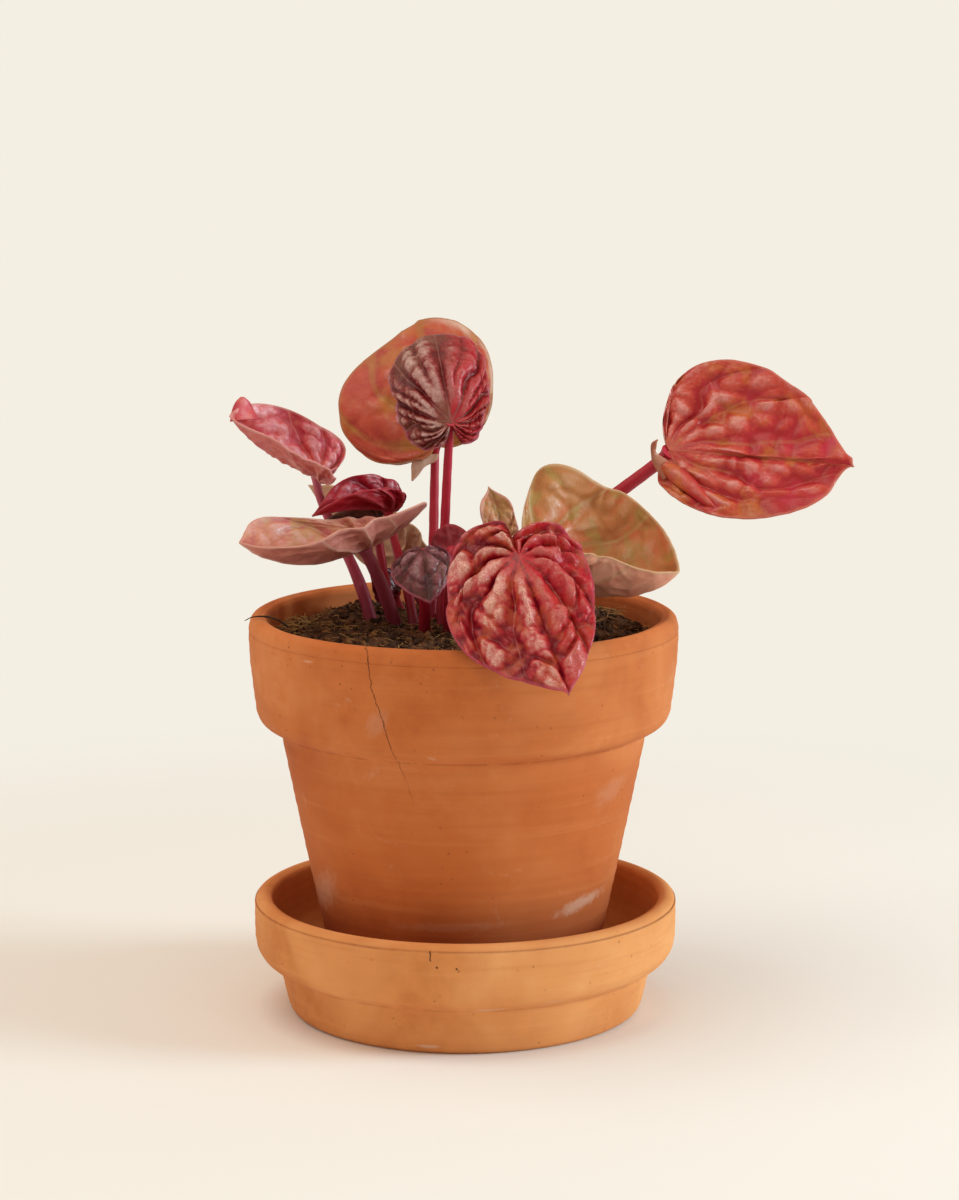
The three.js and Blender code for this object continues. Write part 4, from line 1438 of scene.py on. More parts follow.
LEAVES = (
    Leaf(
        "leaf_upper_left",
        BladeForm(joint=(-41.5, 20.5, 149.5), tip=(-65, 10.5, 167.5), face=(0, -0.7, 1), width=(12, 13),
                  lobe=(5, 5.5), fold=(40, 25), curl=(30, 25), droop=-25, lobe_bend=(25, 0),
                  widest=(0.35, 0.3), point=(0.15, 0), blunt=(0.15, 0.45), base=(0.6, 0.6), relief=0.045,
                  wave=0.015),
        Pucker(cushions=4, blister=0.5, blister_size=4.2, sharp=1.1, seed=2),
        BladeFinish("b83c4c", "d85c66", "ecc8d0", "d45c50", "dc9080", "e4a89c", "cc6c64", "b85050",
                    "d89890", blotch_size=6, sheen_from=0.3, sheen_mottle=0.7, tints=0.35),
        StalkForm((-25, 14), (2, 1.1), (-0.5, 0, 1), (0.5, 0.25)), ROSE, spacing=0.58,
        tongues=(Tongue(
            one=((-65.5, 11.5, 165.5), (-65, 12.5, 168.5), (-64, 13.2, 170.8), (-62.6, 14, 172.2)),
            other=((-57.5, 13, 166), (-59, 14.2, 168.6), (-60, 14.6, 170.6), (-61.4, 14.4, 172)),
            bow=0.9, shine=0.4),)),
    Leaf(
        "leaf_lower_left",
        BladeForm(joint=(-28, 2, 132), tip=(-61, -16, 136), face=(0, -0.3, 1), width=(15, 13.5),
                  lobe=(21, 8.5), fold=(30, 20), curl=(45, 30), droop=-55, lobe_bend=(10, 50),
                  widest=(0.15, 0.55), blunt=(0.15, 0.4), base=(0.4, 0.3), relief=0.04, wave=0.015),
        Pucker(cushions=4, calm=0.6, seed=3),
        BladeFinish("b46458", "cc8870", "ecccca", "b89860", "c8606c", "dcb8a0", "c87c6c", "b0645c",
                    "d49888", blotch_size=6, sheen_from=0.4),
        StalkForm((-18, 12), (2.3, 1.7), (-0.6, -0.4, 1), (0.4, 0.2)), MAUVE),
    Leaf(
        "leaf_arched",
        BladeForm(joint=(-21, 18.5, 140), tip=(-42.5, 6, 140), face=(0, -0.4, 1), width=(7.5, 9),
                  lobe=(0.5, 4.5), fold=(40, 25), curl=(50, 50), droop=40, lobe_bend=(-5, -20),
                  widest=(0.3, 0.25), point=(0.15, 0.2), blunt=(0.25, 0.15), base=(0.7, 0.6), relief=0.06),
        Pucker(cushions=4, crease_depth=0.3, blister=0.2, blister_size=3, split=0.5, seed=4),
        BladeFinish("78081c", "a8162c", "dcaab6", "b01c30", "8c1024", "c05a62", "8c1020", "a01828",
                    "a82c3a", sheen=0.6, sheen_from=0.4, rough=0.36),
        StalkForm((-13, 6.5), (1.6, 1.1), (-0.5, 0.2, 1), (0.5, 0.15)), CRIMSON, spacing=0.5),
    Leaf(
        "leaf_beige",
        BladeForm(joint=(-18, 34, 124.5), tip=(-45, 42, 143.5), face=(0.2, 0.9, 0.4), width=(11, 11),
                  lobe=(7, 7), fold=(5, 5), curl=(-20, -20), droop=20, blunt=(0.16, 0.16), relief=0.03),
        Pucker(seed=5, crease_depth=0.3),
        BladeFinish("9c7050", "bc9468", "d4bc98", "ac7a58", "b86a54", "cbb38a", "d0a080", "b88064",
                    "d0a884", sheen=0.2),
        StalkForm((-5.4, 20.5), (1.9, 1.4), (-0.4, 0.3, 1), (0.4, 0.2)), MAUVE),
    Leaf(
        "leaf_tall_back",
        BladeForm(joint=(-8, 30, 156.5), tip=(-13.5, 56, 190), face=(0.1, -1, 0), width=(27, 19),
                  lobe=(4, 0.5), fold=(0, 10), curl=(-20, -25), droop=55, lobe_bend=(105, 10),
                  widest=(0.3, 0.45), point=(0.2, 0), blunt=(0.2, 0.5), base=(0.3, 0.3), relief=0.02,
                  wave=0.01),
        Pucker(cushions=2.6, crease_depth=0.3, blister=0.5, blister_size=9, wander=0.3, fine=0.06,
               split=0.2, seed=6),
        BladeFinish("a8382a", "bc4c34", "d89c8c", "b87830", "b03a34", "b88c44", "d8b49c", "c08468",
                    "b07850", blotches=0.6, blotch_size=13, tints=0.5, tint_size=11, sheen=0.3,
                    sheen_from=0.6, sparkle=0.2, veins=0.35, vein_reach=1.6, half_colour="d8bca8",
                    half=Half.RIGHT, half_share=0.85, half_from=0.94),
        StalkForm((-8.7, 12.5), (1.7, 1.1), (0, 0.1, 1), (0.4, 0.14)), SCARLET, spacing=0.85,
        tongues=(Tongue(
            one=((-14, 29.5, 153.5), (-15, 28.5, 151), (-15, 28, 148.5), (-15, 27.5, 146.5)),
            other=((-7, 30, 154), (-8, 29, 152), (-11, 28.5, 150.5), (-13, 28, 148), (-14.5, 27.5, 146.5)),
            bow=0.5, under=1.0),)),
    Leaf(
        "leaf_tall_ribbed",
        BladeForm(joint=(-3.5, 8, 166), tip=(-8.5, 32, 188.5), face=(0, -1, 0.3), width=(17.5, 15.5),
                  lobe=(7, 7), fold=(-5, -5), curl=(-45, -45), droop=95, lobe_bend=(15, 15),
                  widest=(0.45, 0.55), point=(0, 0.15), blunt=(0.3, 0.3), base=(0.5, 0.3), ribs=5,
                  relief=0.07),
        Pucker(cushions=7, split=0.8, split_from=0.15, wander=0.3, blister=0.25, blister_size=2.5,
               deepen=0.95, frill=0.5, seed=7),
        BladeFinish("5c1012", "8c3430", "dcbcb4", "80503c", "942428", "c08078", "8c2430", "7a2028",
                    "b86070", blotches=0.6, sheen=0.65, sheen_from=0.35, sheen_half=Half.LEFT, rough=0.36,
                    half_colour="b41024", half=Half.RIGHT, half_share=0.9),
        StalkForm((-6.6, 8), (1.7, 1.1), (0.05, 0, 1), (0.2, 0.2)), SCARLET, spacing=0.54),
    Leaf(
        "leaf_dark_ribbed",
        BladeForm(joint=(-11, -10, 132.5), tip=(-9, -22, 119.5), face=(0, -0.9, 0.35), width=(9, 11),
                  lobe=(2, 2), fold=(-8, -8), curl=(-40, -40), droop=50, point=(0.05, 0.05), ribs=3,
                  relief=0.08),
        Pucker(blister_size=3, split=0.5, seed=8),
        BladeFinish("3c1418", "6a3034", "b08088", "5c3428", "741f2c", "7a4a48", "5a2024", "642c2c",
                    "a84c5c", sheen_from=0.45),
        StalkForm((-11, 0.5), (1.8, 1.3), (0, -0.3, 0.5), (0.5, 0.2)), CRIMSON, spacing=0.46),
    Leaf(
        "leaf_round_dark",
        BladeForm(joint=(-3, -1.5, 130.4), tip=(-4.5, 2, 137.8), face=(0, 1, 0.3), width=(5.5, 5.5),
                  lobe=(1.5, 1.5), fold=(5, 5), curl=(10, 10), droop=10, widest=(0.4, 0.4),
                  point=(0.02, 0.02), ribs=3, relief=0.04),
        Pucker(seed=9),
        BladeFinish("5c0814", "800f20", "b06a70", "901826", "700c1c", "a04048", "8c1424", "74101c",
                    "a02c38", sheen=0.3, sheen_from=0.8),
        StalkForm((-4.2, 0.2), (1.7, 1.2), (0, 0.6, 0.3), (0.4, 0.15)), CRIMSON, spacing=0.4),
    Leaf(
        "leaf_front",
        BladeForm(joint=(15, -50, 137), tip=(28, -78, 104.5), face=(0, -1, 0.4), width=(18, 22.5),
                  lobe=(10, 13.5), fold=(-10, -10), curl=(-20, -5), droop=20, lobe_bend=(15, 20),
                  widest=(0.15, 0.2), point=(0.05, 0.05), blunt=(0.15, 0.15), notch=(0.1, 0.05),
                  base=(0.65, 0.3), ribs=5, relief=0.06),
        Pucker(cushions=4.6, across=0.8, crease_depth=0.65, crease_from=0.35, split=0.1, wander=0.4,
               blister=0.6, blister_size=4.2, fine=0.16, frill=0.4, deepen=1.35, growth=1.2, converge=0.6,
               full=(0.3, 2.4), trim=1.4, close=0.9, seed=10),
        BladeFinish("7a061a", "b82c32", "f0ccba", "c25a38", "bc1426", "dc7c70", "9c3a40", "8a2c34",
                    "b84658", blotches=0.6, blotch_size=7, tints=0.35, tint_size=8, sheen=0.7,
                    sheen_from=0.36, sheen_span=0.62, sheen_mottle=0.5, bare=0.3, sheen_half=Half.RIGHT,
                    sparkle=0.65, veins=0.22, vein_reach=0.18, rough=0.3, coat=0.75, half_colour="b00a20",
                    half=Half.LEFT, half_share=0.8),
        StalkForm((2, 1), (2.3, 1.7), (0.2, -0.8, 0.3), (0.45, 0.25)), CRIMSON, spacing=0.54),
    Leaf(
        "leaf_olive_cupped",
        BladeForm(joint=(21, -8, 129), tip=(59, -14, 127.5), face=(0, -0.7, 1), width=(30, 17.5),
                  lobe=(10, 0.5), fold=(10, 50), curl=(40, 60), droop=-110, lobe_bend=(-35, 10),
                  widest=(0.45, 0.5), point=(0, 0.05), blunt=(0.5, 0.4), base=(0.7, 0.6), relief=0.02,
                  wave=0.01),
        Pucker(cushions=3, crease_depth=0.35, blister=0.5, blister_size=8, fine=0.07, seed=11),
        BladeFinish("ac6c3c", "bc7c48", "dcb498", "c8643c", "a08a44", "b8a064", "f0b49a", "de9078",
                    "c8a47c", blotches=0.65, blotch_size=11, tints=0.65, tint_size=9, sheen=0.35,
                    sheen_from=0.6, sparkle=0.2, veins=0.45, vein_reach=1.3, rough=0.46),
        StalkForm((5, 9), (2.1, 1.6), (0.5, -0.3, 0.7), (0.45, 0.25)), CRIMSON, spacing=0.85),
    Leaf(
        "leaf_small_olive",
        BladeForm(joint=(11.5, -8, 136.5), tip=(7, -4, 149.5), face=(0.2, -1, 0.2), width=(5.2, 4.3),
                  lobe=(1, 1), fold=(10, 10), curl=(10, 10), droop=10, widest=(0.4, 0.4), point=(0.2, 0.2),
                  ribs=3, relief=0.04),
        Pucker(seed=12, blister_size=3),
        BladeFinish("9c6440", "bc8058", "dcb098", "b46040", "9c8444", "b8a064", "cc9c74", "b47c5c",
                    "d0988c", blotch_size=5, sheen=0.4, sheen_from=0.6),
        StalkForm((-1.5, 8), (1.6, 1.1), (0.1, -0.3, 1), (0.4, 0.2)), MAUVE, spacing=0.4),
    Leaf(
        "leaf_right",
        BladeForm(joint=(58.5, 22, 156), tip=(111, 14, 152.5), face=(0.2, -1, 0.7), width=(28.5, 20),
                  lobe=(1.5, 2.5), fold=(0, -10), curl=(20, 20), droop=10, lobe_bend=(55, 70),
                  widest=(0.25, 0.45), point=(0.05, 0.1), blunt=(0.2, 0.05), base=(0.3, 0.3), ribs=5,
                  relief=0.03, wave=0.015),
        Pucker(cushions=2.4, across=0.6, uneven=0.8, wander=0.7, blister=0.85, blister_size=7.0, fine=0.14,
               split=0.0, sharp=1.3, frill=0.9, deepen=1.0, growth=1.2, converge=0.3, trim=1.0, calm=0.75,
               seed=13),
        BladeFinish("a8242a", "c04436", "e4ada4", "c0702f", "c02c44", "c98a5c", "b4745c", "a86048",
                    "c87060", blotches=0.6, blotch_size=11, tints=0.6, tint_size=12, sheen=0.42,
                    sheen_from=0.45, sheen_span=0.6, sheen_mottle=0.8, bare=0.15, sparkle=0.25, veins=0.25,
                    vein_reach=0.4, rough=0.3, coat=0.65),
        StalkForm((1, 15.5), (2.1, 1.8), (1, 0, 0.5), (0.3, 0.14)), CRIMSON, spacing=0.68,
        tongues=(
            Tongue(
                one=((56.5, 17.5, 148), (55.5, 17.5, 149.5), (53.5, 18, 153), (53, 17.5, 156),
                     (53, 16.5, 158.5), (54.5, 15.5, 160)),
                other=((60.5, 18, 152), (58.5, 18.5, 153), (56.5, 18.5, 154.5), (54.5, 18, 156),
                       (54.5, 17, 157.5), (54.5, 15.5, 159.5)),
                bow=0.4, under=1.0),
            Tongue(
                one=((57.5, 19, 153.5), (62, 17.5, 151.5), (64.5, 15, 149.5), (66.5, 13, 147.5),
                     (68.5, 11.5, 145), (71, 10.5, 142)),
                other=((55.5, 18, 151), (58.5, 16.5, 148), (61.5, 14, 146), (66, 11.5, 143),
                       (68.5, 10.5, 141.5), (71.5, 10, 140)),
                bow=1.1, shine=0.6))),
    Leaf(
        "leaf_low_glossy",
        BladeForm(joint=(-18.9, 27, 114.5), tip=(-26.9, 23, 121), face=(-0.2, -0.7, 0.5), width=(6, 6),
                  lobe=(1, 1), fold=(-10, -10), curl=(-20, -20), droop=30, ribs=3, relief=0.03),
        Pucker(seed=14),
        BladeFinish("3c0810", "600c18", "c08a90", "6e1424", "500814", "7a2a34", "5c1420", "4a101a",
                    "741c28", sheen=0.3, rough=0.22, coat=0.5),
        StalkForm((-13, 22.5), (1.6, 1.1), (-0.3, 0.1, 0.5), (0.4, 0.2)), CRIMSON, spacing=0.4),
    Leaf(
        "leaf_brown_shaded",
        BladeForm(joint=(-24.5, 20, 136.5), tip=(-39, 18, 137), face=(0, -1, 0.15), width=(5, 4.5),
                  lobe=(2, 2), fold=(10, 10), curl=(10, 10), droop=30, point=(0.15, 0.15), ribs=3,
                  relief=0.04),
        Pucker(seed=15),
        # Dull dark colours: painted shade of a leaf that lies in the shade under the arched leaf.
        BladeFinish("4a2a24", "70483c", "94807a", "5c3428", "6e2c28", "8a6a5c", "6e4c40", "5c3c32",
                    "8a6050", sheen=0.3, sheen_from=0.8),
        StalkForm((-20, 19), (1.6, 1.1), (-0.3, -0.2, 0.7), (0.4, 0.2)), CRIMSON, spacing=0.4),
)


# Pot, saucer and soil

# A little over one full turn, in radians.
FULL_TURN = 6.3

# Points around the turned clay.
AROUND = 150


@dataclass(frozen=True)
class Pot:
    """Clay pot: tapered body, neck and tall band, in millimetres."""

    top: float = 113.2
    base: float = 6.0
    rim: float = 60.0
    foot: float = 36.0
    floor: float = 12.2
    drain: float = 6.0

    def profile(self) -> Array:
        """Section from the drain hole out, up the wall, over the lip and down inside."""
        top, rim = self.top, self.rim
        return rounded([
            (self.drain, self.base, 1), (self.foot - 1, self.base, 0), (self.foot, self.base + 1, 0),
            (44.2, 45.4, 0), (50.0, 74.0, 0), (50.8, 78.6, 0), (51.3, 80.8, 0), (52.6, 81.6, 0),
            (55.2, 82.6, 0), (57.0, 84.2, 0), (57.9, 86.2, 0), (58.3, 88.8, 0), (rim - 0.3, 101, 0),
            (rim - 0.02, 108.6, 0), (rim - 0.12, 109.0, 0), (rim, 109.4, 0),
            (rim - 0.5, top - 1.3, 0), (rim - 1.7, top - 0.3, 0), (rim - 2.6, top, 0),
            (rim - 3.7, top - 0.4, 0), (rim - 5, top - 2, 0), (54.2, 99, 0), (51.4, 88, 0),
            (46.58, 79, 0), (33.48, 16, 0), (30.28, self.floor, 0), (self.drain, self.floor, 1)], 1.0)

    def build(self) -> bpy.types.Object:
        """Makes the pot."""
        def wobble(angle: Array, radius: Array, height: Array) -> Array:
            """Small unevenness of a turned wall."""
            slow = 0.12 * np.sin(2 * angle + height * 0.02) + 0.06 * np.sin(5 * angle + 1.3)
            rings = 0.05 * np.sin(height * 1.9) + 0.04 * np.sin(height * 0.83 + 0.5)
            return slow + rings

        skin = lathe(self.profile(), AROUND, wobble)
        salts = (SaltMark(31.8, 36.4, 8, 2.2, 14, 0.5), SaltMark(-38.5, 38.0, 8, 3.6, 75, 0.25),
                 SaltMark(40.5, 68.5, 6, 3.5, 40, 0.12), SaltMark(-23, 92.6, 5, 3, 60, 0.16),
                 SaltMark(-41.5, 107.5, 2, 0.4, 5, 0.35), SaltMark(-8, 83.5, 1.6, 0.5, -20, 0.3),
                 SaltMark(-3, 33.5, 20, 1.6, 2, 0.12))
        # Lines paint shade in the small groove below the lip (109.0) and at the neck's corner under the band
        # (80.9).
        finish = ClayFinish("cb723a", "d8864e", "b65e2b", "74240a", damp_top=27.0, damp_reach=19.0,
                            salts=salts, lines=((109.0, 0.06), (80.9, 0.3)), body="b8581f")
        piece = skin.build("pot_clay", finish.material("pot_clay", self.crack))
        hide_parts("pot")
        return piece

    @staticmethod
    def crack(s: Shader) -> Socket:
        """Hairline crack that runs down from the lip at the front left.

        Args:
            s: The shader of the clay.

        Returns:
            1 in the crack and 0 elsewhere.
        """
        x, y, z = s.axes()
        course = ((-25.6, 114.0), (-24.2, 103.0), (-20.9, 93.0), (-19.2, 87.0), (-13.2, 70.0))
        wiggle = (s.noise(3.0, 3.0, 0.7) - 0.5) * (2.2 * MM)
        centre: Any = course[-1][0] * MM
        for (x0, z0), (x1, z1) in zip(course[:-1][::-1], course[1:][::-1]):
            share = s.node("ShaderNodeMapRange", {"clamp": True}, {
                "Value": z, "From Min": z1 * MM, "From Max": z0 * MM, "To Min": 0.0, "To Max": 1.0})
            centre = share * ((x0 - x1) * MM) + centre
        off = (x - centre + wiggle).abs()
        line = off.rise(0.24 * MM, 0.08 * MM) * (y * -1.0).rise(0.0, 5.0 * MM)
        open_here = s.noise(9.0, 2.0, 0.5).rise(0.36, 0.56) * 0.6 + 0.4
        deep = z.rise(80.0 * MM, 86.0 * MM) * 0.65 + 0.35
        return line * open_here * deep * z.rise(66.0 * MM, 74.0 * MM)


@dataclass(frozen=True)
class Saucer:
    """Clay saucer under the pot, in millimetres."""

    top: float = 33.2
    radius: float = 59.6
    foot: float = 48.1
    floor: float = 5.7
    offset: float = 0.4

    def profile(self) -> Array:
        """Section from the middle of the underside round to the middle of the floor."""
        r, top = self.radius, self.top
        return rounded([
            (0, 0, 1), (self.foot, 0, 1), (49.8, 1.4, 0), (50.9, 5, 0), (51.9, 9.5, 0), (52.7, 13, 0),
            (54.2, 14, 0), (56.6, 15.4, 0), (58.5, 17.6, 0), (r - 0.1, 21.5, 0), (r, top - 2.4, 0),
            (r - 0.1, 31.1, 0), (r - 0.26, 31.4, 0), (r - 0.28, 31.7, 0), (r - 0.7, top - 0.8, 0),
            (r - 2.4, top, 0), (r - 4.1, top - 0.5, 0), (r - 5, top - 2.2, 0), (54.2, 22, 0),
            (52.6, 17.2, 0), (49.6, 12.9, 0), (46.5, 8.6, 0), (42.6, self.floor, 0),
            (0, self.floor, 1)], 1.0)

    def build(self) -> bpy.types.Object:
        """Makes the saucer."""
        def wobble(angle: Array, radius: Array, height: Array) -> Array:
            """Small unevenness of the turned wall, none near the axis."""
            return (0.12 * np.sin(3 * angle + 0.6) + 0.05 * np.sin(height * 2.1)) * (radius > 40)

        skin = lathe(self.profile(), AROUND, wobble)
        skin.points[:, 0] += self.offset
        salts = (SaltMark(-9.7, 2.4, 4, 0.7, 0, 0.6), SaltMark(7.3, 13.8, 5, 0.6, 3, 0.55),
                 SaltMark(24, 15.4, 4, 0.5, 6, 0.4))
        # Lines paint shade in the small groove below the lip (31.4) and at the step above the foot (13.2).
        finish = ClayFinish("e09455", "e8a468", "c97a40", "8c4630", salts=salts,
                            lines=((31.4, 0.2), (13.2, 0.2)))
        piece = skin.build("saucer_clay", finish.material("saucer_clay", self.pits))
        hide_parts("saucer")
        return piece

    @staticmethod
    def pits(s: Shader) -> Socket:
        """Two small pits and a short split in the front of the band.

        Args:
            s: The shader of the clay.

        Returns:
            1 in them and 0 elsewhere.
        """
        x, y, z = s.axes()
        front = (y * -1.0).rise(0.0, 5.0 * MM)
        mark: Any = 0.0
        for px, pz, size in ((-6.9, 27.3, 0.42), (-1.6, 27.0, 0.42)):
            away = ((x - px * MM) ** 2.0 + (z - pz * MM) ** 2.0) ** 0.5
            mark = away.rise(size * MM, size * 0.5 * MM) + mark
        split = (x + 8.7 * MM + (s.noise(1.2, 2.0, 0.5) - 0.5) * (0.8 * MM)).abs().rise(0.28 * MM, 0.1 * MM)
        split = split * z.rise(28.8 * MM, 29.2 * MM) * z.rise(31.9 * MM, 31.4 * MM)
        return (mark + split).least(1.0) * front


@dataclass(frozen=True)
class Soil:
    """Peat that fills the pot, with crumbs and dry fibres on it, in millimetres.

    Mound is its rise over the crown, and each heap has its place, its reach and its rise.
    """

    level: float = SOIL_LEVEL
    mound: float = 1.6
    reach: float = 54.2
    bed_reach: float = 52.6
    heaps: tuple[tuple[float, float, float, float], ...] = (
        (-45.0, 5.0, 8.0, 2.6), (34.0, 15.0, 12.0, 5.2), (-30.0, 27.0, 12.0, 3.4))

    def height(self, x: Array, y: Array) -> Array:
        """Height of the surface, lumpy and mounded over the crown.

        Args:
            x, y: Places on it.

        Returns:
            Its height at each of them.
        """
        near = np.exp(-(((x + 9) / 30) ** 2 + ((y - 9) / 26) ** 2))
        base = 0.55 * np.sin(0.33 * x + 1.1) * np.cos(0.29 * y) + 0.35 * np.sin(0.71 * x - 0.5 * y)
        lumps = 0.7 * lattice_noise(x / 5.0, y / 5.0, 31) + 0.45 * lattice_noise(x / 2.1, y / 2.1, 32)
        grit = 0.3 * lattice_noise(x / 0.9, y / 0.9, 33)
        edge = smooth_step(44.0, 54.0, np.hypot(x, y))
        heap = sum(rise * np.exp(-((x - hx) ** 2 + (y - hy) ** 2) / reach ** 2)
                   for hx, hy, reach, rise in self.heaps)
        return self.level + self.mound * near + base + lumps + grit - 0.8 * edge + heap

    def disc(self, middle: Pair, radii: Array, around: int) -> Array:
        """Points on rings over the surface.

        Args:
            middle: Centre of the rings.
            radii: Their radii.
            around: Points on each.

        Returns:
            The points, ring by ring.
        """
        radius, turn = np.meshgrid(radii, circle(around), indexing="ij")
        x, y = middle[0] + radius * np.cos(turn), middle[1] + radius * np.sin(turn)
        return np.stack([x, y, self.height(x, y)], -1).reshape(-1, 3)

    def surface(self) -> Skin:
        """The closed soil body: a lumpy top, and the inside of the pot below."""
        around, rings = 256, 96
        angle = circle(around)
        top = self.disc((0.0, 0.0), np.linspace(0.35, self.reach, rings), around)
        wall = [(53.8, 99.2), (51.0, 88.2), (46.28, 79.1), (33.18, 16.2), (29.88, 12.5)]
        lower = [np.stack([r * np.cos(angle), r * np.sin(angle), np.full(around, z)], -1) for r, z in wall]
        peak = self.height(np.zeros(1), np.zeros(1))[0]
        points = np.vstack([top, *lower, [[0, 0, peak], [0, 0, wall[-1][1]]]])
        faces = [quad[::-1] for quad in grid_faces(rings + len(wall), around, 0, True)]
        crown, floor = len(points) - 2, len(points) - 1
        last = (rings + len(wall) - 1) * around
        for k in range(around):
            n = (k + 1) % around
            faces.append((crown, k, n))
            faces.append((floor, last + n, last + k))
        return Skin(points, faces)

    def strew(self, name: str, tree: bpy.types.NodeTree, values: dict[str, Any],
              middle: Pair = (0.0, 0.0), reach: float | None = None) -> bpy.types.Object:
        """Strews bits over a coarse open copy of a round area of the top.

        Args:
            name: Name of the piece.
            tree: The tree that makes the bits.
            values: Inputs of the tree by name.
            middle: Centre of the area.
            reach: Its radius, or None for the whole top.

        Returns:
            The bits.
        """
        around, rings = 64, 20
        points = self.disc(middle, np.linspace(1.0, reach or self.bed_reach, rings), around)
        bed = Skin(points, [quad[::-1] for quad in grid_faces(rings, around, 0, True)]).build(name)
        return grow(bed, tree, values)

    @staticmethod
    def crumb_tree() -> bpy.types.NodeTree:
        """Geometry nodes that strew uneven crumbs over a bed."""
        g = Growth("soil_crumbs")
        size, detail, seed = g.input("Size", "Float"), g.input("Detail", "Int"), g.input("Seed", "Int")
        ball = g.node("GeometryNodeMeshIcoSphere", inputs={"Radius": 1.0, "Subdivisions": detail})
        shape = g.random((0.35, 0.3, 0.25), (1.5, 1.1, 0.8), seed)
        shape = g.node("ShaderNodeVectorMath", {"operation": "SCALE"}, {0: shape, "Scale": size})
        crumbs = g.strewn(ball, shape, (0, 0, 0), (FULL_TURN, FULL_TURN, FULL_TURN), seed)
        return g.close(g.crumpled(crumbs, {"Scale": 900.0, "Detail": 2.0}, (0.5, 0.5, 0.5), size))

    @staticmethod
    def fibre_tree() -> bpy.types.NodeTree:
        """Geometry nodes that strew thin bent fibres over a bed."""
        g = Growth("soil_fibres")
        length, thick = g.input("Length", "Float"), g.input("Thickness", "Float")
        seed = g.input("Seed", "Int")
        arc = g.node("GeometryNodeCurveQuadraticBezier", inputs={
            "Resolution": 7, "Start": (-0.5, 0, 0), "Middle": (0.05, 0.22, 0.12), "End": (0.5, 0, 0.02)})
        threads = g.strewn(arc, length * 0.5, (-0.45, -0.35, 0), (0.45, 0.35, FULL_TURN), seed)
        bent = g.crumpled(threads, {"Scale": 260.0, "Detail": 1.0}, (0.5, 0.5, 0.45), 3.5 * MM)
        return g.close(g.round_wire(bent, 4, thick))

    def build(self, stems: bpy.types.NodeTree) -> list[bpy.types.Object]:
        """Makes the soil, its crumbs, its fibres and the root that lies over the lip.

        Args:
            stems: The tree made by stalk_tree.

        Returns:
            All these pieces, the soil first.
        """
        body = self.surface().build("soil_peat", SoilFinish().material("soil_peat"))
        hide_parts("soil")
        area = math.pi * (self.reach * MM) ** 2
        pieces = [body]
        crumb = self.crumb_tree()
        for name, count, size, detail, seed, finish in (
                ("soil_crumbs", 1700, 1.0, 1, 5, SoilFinish("2a180f", "54341f", "8a5e3a")),
                ("soil_bark_bits", 150, 1.5, 2, 9, SoilFinish("4a2c18", "84562f", "b88a54"))):
            pieces.append(self.strew(name, crumb, {
                "Density": count / area, "Size": size * MM, "Detail": detail, "Seed": seed,
                "Material": finish.material(name)}))
        fibre = self.fibre_tree()
        for name, count, length, thick, seed, finish in (
                ("soil_fibres_tan", 620, 6.5, 0.11, 3, FibreFinish("7c5230", "c09458")),
                ("soil_fibres_dark", 420, 8.0, 0.16, 4, FibreFinish("3a2214", "6e4426"))):
            pieces.append(self.strew(name, fibre, {
                "Density": count / area, "Length": length * MM, "Thickness": thick * MM, "Seed": seed,
                "Material": finish.material(name)}))
        finish = FibreFinish("6c4828", "b08850")
        for name, count, (x, y, wide, _) in (
                ("soil_tuft_left", 34, self.heaps[0]), ("soil_tuft_right", 30, self.heaps[1])):
            reach = wide - 2.0
            pieces.append(self.strew(name, fibre, {
                "Density": count / (math.pi * (reach * MM) ** 2), "Length": 15.0 * MM,
                "Thickness": 0.13 * MM, "Seed": 21, "Material": finish.material(name)}, (x, y), reach))
        pieces.append(self.lip_root(stems))
        return pieces

    @staticmethod
    def lip_root(stems: bpy.types.NodeTree) -> bpy.types.Object:
        """Dark dry root that lies out over the lip at the left.

        Args:
            stems: The tree made by stalk_tree.

        Returns:
            The root.
        """
        route = np.array([(-48.5, -8, 110.4), (-51, -9.4, 112.6), (-54, -10.2, 113.8),
                          (-56.5, -10.7, 114.0), (-58.6, -11, 113.8), (-60.6, -11.4, 112.8)])
        steps = 40
        t = np.linspace(0, len(route) - 1, steps)
        path = np.stack([np.interp(t, range(len(route)), route[:, k]) for k in range(3)], -1)
        kernel = np.array([1, 2, 3, 2, 1]) / 9
        for k in range(3):
            padded = np.pad(path[:, k], 2, mode="edge")
            path[:, k] = np.convolve(padded, kernel, mode="valid")
        along = np.linspace(0, 1, steps)
        thick = np.interp(along, [0, 0.4, 1], [0.3, 0.28, 0.1])
        finish = FibreFinish("1c110b", "5a4030").material("soil_lip_root")
        return tube("soil_lip_root", path, thick, along, stems, finish, 8)


# Stage

# Width of the camera's sensor, in millimetres.
SENSOR = 36.0

BLACK: Colour = (0.0, 0.0, 0.0, 1.0)
PAPER: Colour = (0.89, 0.89, 0.87, 1.0)


@dataclass(frozen=True)
class Lamp:
    """A soft square lamp: where it stands and what it faces in millimetres, and its side in metres.

    Light falls on a surface at the target that faces the lamp, where 1 makes white paper fully white.
    Tint is its linear colour.
    """

    name: str
    at: Triple
    target: Triple
    size: float
    light: float
    tint: Triple

    def build(self) -> None:
        """Makes the lamp, unseen by the camera."""
        way = Vector(self.target) - Vector(self.at)
        data = bpy.data.lights.new(self.name, "AREA")
        data.shape = "SQUARE"
        data.size = self.size
        data.energy = self.light * (math.pi * way.length * MM) ** 2
        data.color = self.tint
        lamp = bpy.data.objects.new(self.name, data)
        lamp.location = Vector(self.at) * MM
        lamp.rotation_euler = way.to_track_quat("-Z", "Y").to_euler()
        lamp.visible_camera = False
        bpy.context.scene.collection.objects.link(lamp)


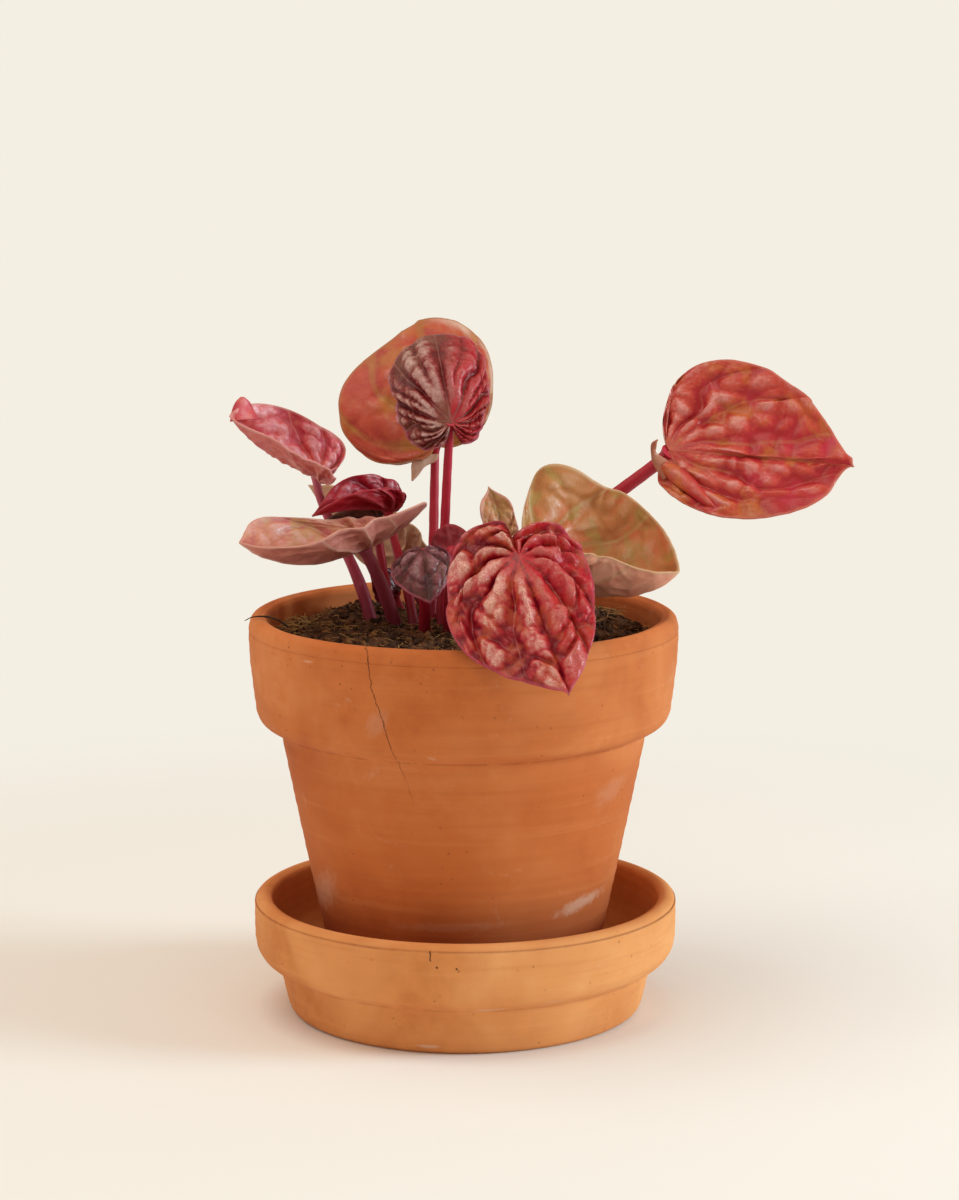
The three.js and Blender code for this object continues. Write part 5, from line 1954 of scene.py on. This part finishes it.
@dataclass(frozen=True)
class Studio:
    """Pale paper floor, a cool low key from the right, weaker lamps, warm room light and the camera.

    The paper is plain as far as near, and evenly bright beyond far. Lengths are in millimetres, focal_px is
    in pixels of the picture, and pitch is how far the camera looks down, in degrees.
    """

    width_px: int = 959
    focal_px: float = 3448.0
    camera: Triple = (4.5, -950.0, 282.0)
    pitch: float = 9.87
    near: float = 210.0
    far: float = 400.0
    white: Triple = (0.905, 0.860, 0.768)
    room: Triple = (1.0, 0.83, 0.66)
    room_strength: float = 0.53
    lamps: tuple[Lamp, ...] = (
        Lamp("key", (1330, -190, 480), (0, 0, 90), 0.5, 0.8, (0.68, 0.9, 1.0)),
        Lamp("left", (-1250, -330, 560), (0, 0, 100), 1.8, 0.17, (0.72, 0.92, 1.0)),
        Lamp("top", (-350, -200, 1400), (0, 0, 0), 1.1, 0.4, (1.0, 0.88, 0.76)))

    def floor(self) -> bpy.types.Object:
        """The paper: plain white round the pot, and evenly bright further out, where no lamp reaches."""
        around, radii = 72, (120.0, 300.0, 700.0, 1500.0, 3500.0, 9000.0)
        angle = circle(around)
        rings = [np.stack([r * np.cos(angle), r * np.sin(angle), 0 * angle], -1) for r in radii]
        points = np.vstack([*rings, [[0.0, 0.0, 0.0]]])
        faces = [quad[::-1] for quad in grid_faces(len(radii), around, 0, True)]
        faces += [(len(points) - 1, k, (k + 1) % around) for k in range(around)]
        s = Shader("paper_floor")
        x, y, _ = s.axes()
        far = ((x * x + y * y) ** 0.5).rise(self.near * MM, self.far * MM)
        material = s.finish(s.mix(PAPER, BLACK, far), 0.9, Specular_IOR_Level=0.0,
                            Emission_Color=s.mix(BLACK, (*self.white, 1.0), far), Emission_Strength=1.0)
        piece = Skin(points, faces).build("paper_floor", material)
        return piece

    def room_light(self) -> None:
        """Warm light from all round; the camera itself sees the paper's white above the floor's edge."""
        world = bpy.data.worlds.new("room")
        world.use_nodes = True
        tree = world.node_tree
        lit = tree.nodes["Background"]
        lit.inputs["Color"].default_value = (*self.room, 1.0)
        lit.inputs["Strength"].default_value = self.room_strength
        seen = tree.nodes.new("ShaderNodeBackground")
        seen.inputs["Color"].default_value = (*self.white, 1.0)
        path = tree.nodes.new("ShaderNodeLightPath")
        both = tree.nodes.new("ShaderNodeMixShader")
        tree.links.new(path.outputs["Is Camera Ray"], both.inputs[0])
        tree.links.new(lit.outputs[0], both.inputs[1])
        tree.links.new(seen.outputs[0], both.inputs[2])
        tree.links.new(both.outputs[0], tree.nodes["World Output"].inputs["Surface"])
        bpy.context.scene.world = world

    def photo_camera(self) -> None:
        """Makes the camera of the photograph."""
        data = bpy.data.cameras.new("photo_camera")
        data.sensor_fit = "HORIZONTAL"
        data.sensor_width = SENSOR
        data.lens = SENSOR * self.focal_px / self.width_px
        camera = bpy.data.objects.new("photo_camera", data)
        camera.location = Vector(self.camera) * MM
        camera.rotation_euler = Euler((math.radians(90.0 - self.pitch), 0.0, 0.0))
        bpy.context.scene.collection.objects.link(camera)
        bpy.context.scene.camera = camera

    def build(self) -> None:
        """Makes the paper, the lamps, the room light and the camera."""
        self.floor()
        for lamp in self.lamps:
            lamp.build()
        self.room_light()
        bpy.context.scene.view_settings.view_transform = "Standard"
        self.photo_camera()


def dress_crown(nodes: dict[str, bpy.types.Object]) -> None:
    """Gives the hidden root crown its own finish."""
    crown = nodes["root_crown"]
    crown.data.materials.clear()
    crown.data.materials.append(FibreFinish("4a3020", "8a6848").material("root_crown"))


def main() -> None:
    """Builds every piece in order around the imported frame."""
    logging.basicConfig(level=logging.INFO, format="%(name)s: %(message)s")
    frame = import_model()
    Studio().build()
    LOG.info("studio")
    stems = stalk_tree()
    pieces = [Pot().build(), Saucer().build(), *Soil().build(stems)]
    for leaf in LEAVES:
        pieces += leaf.build(stems)
    dress_crown(frame["nodes"])
    for piece in pieces:
        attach(piece, BODY)
        LOG.info("%s: %d faces", piece.name, len(piece.data.polygons))
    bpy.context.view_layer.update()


if __name__ == "__main__":
    main()
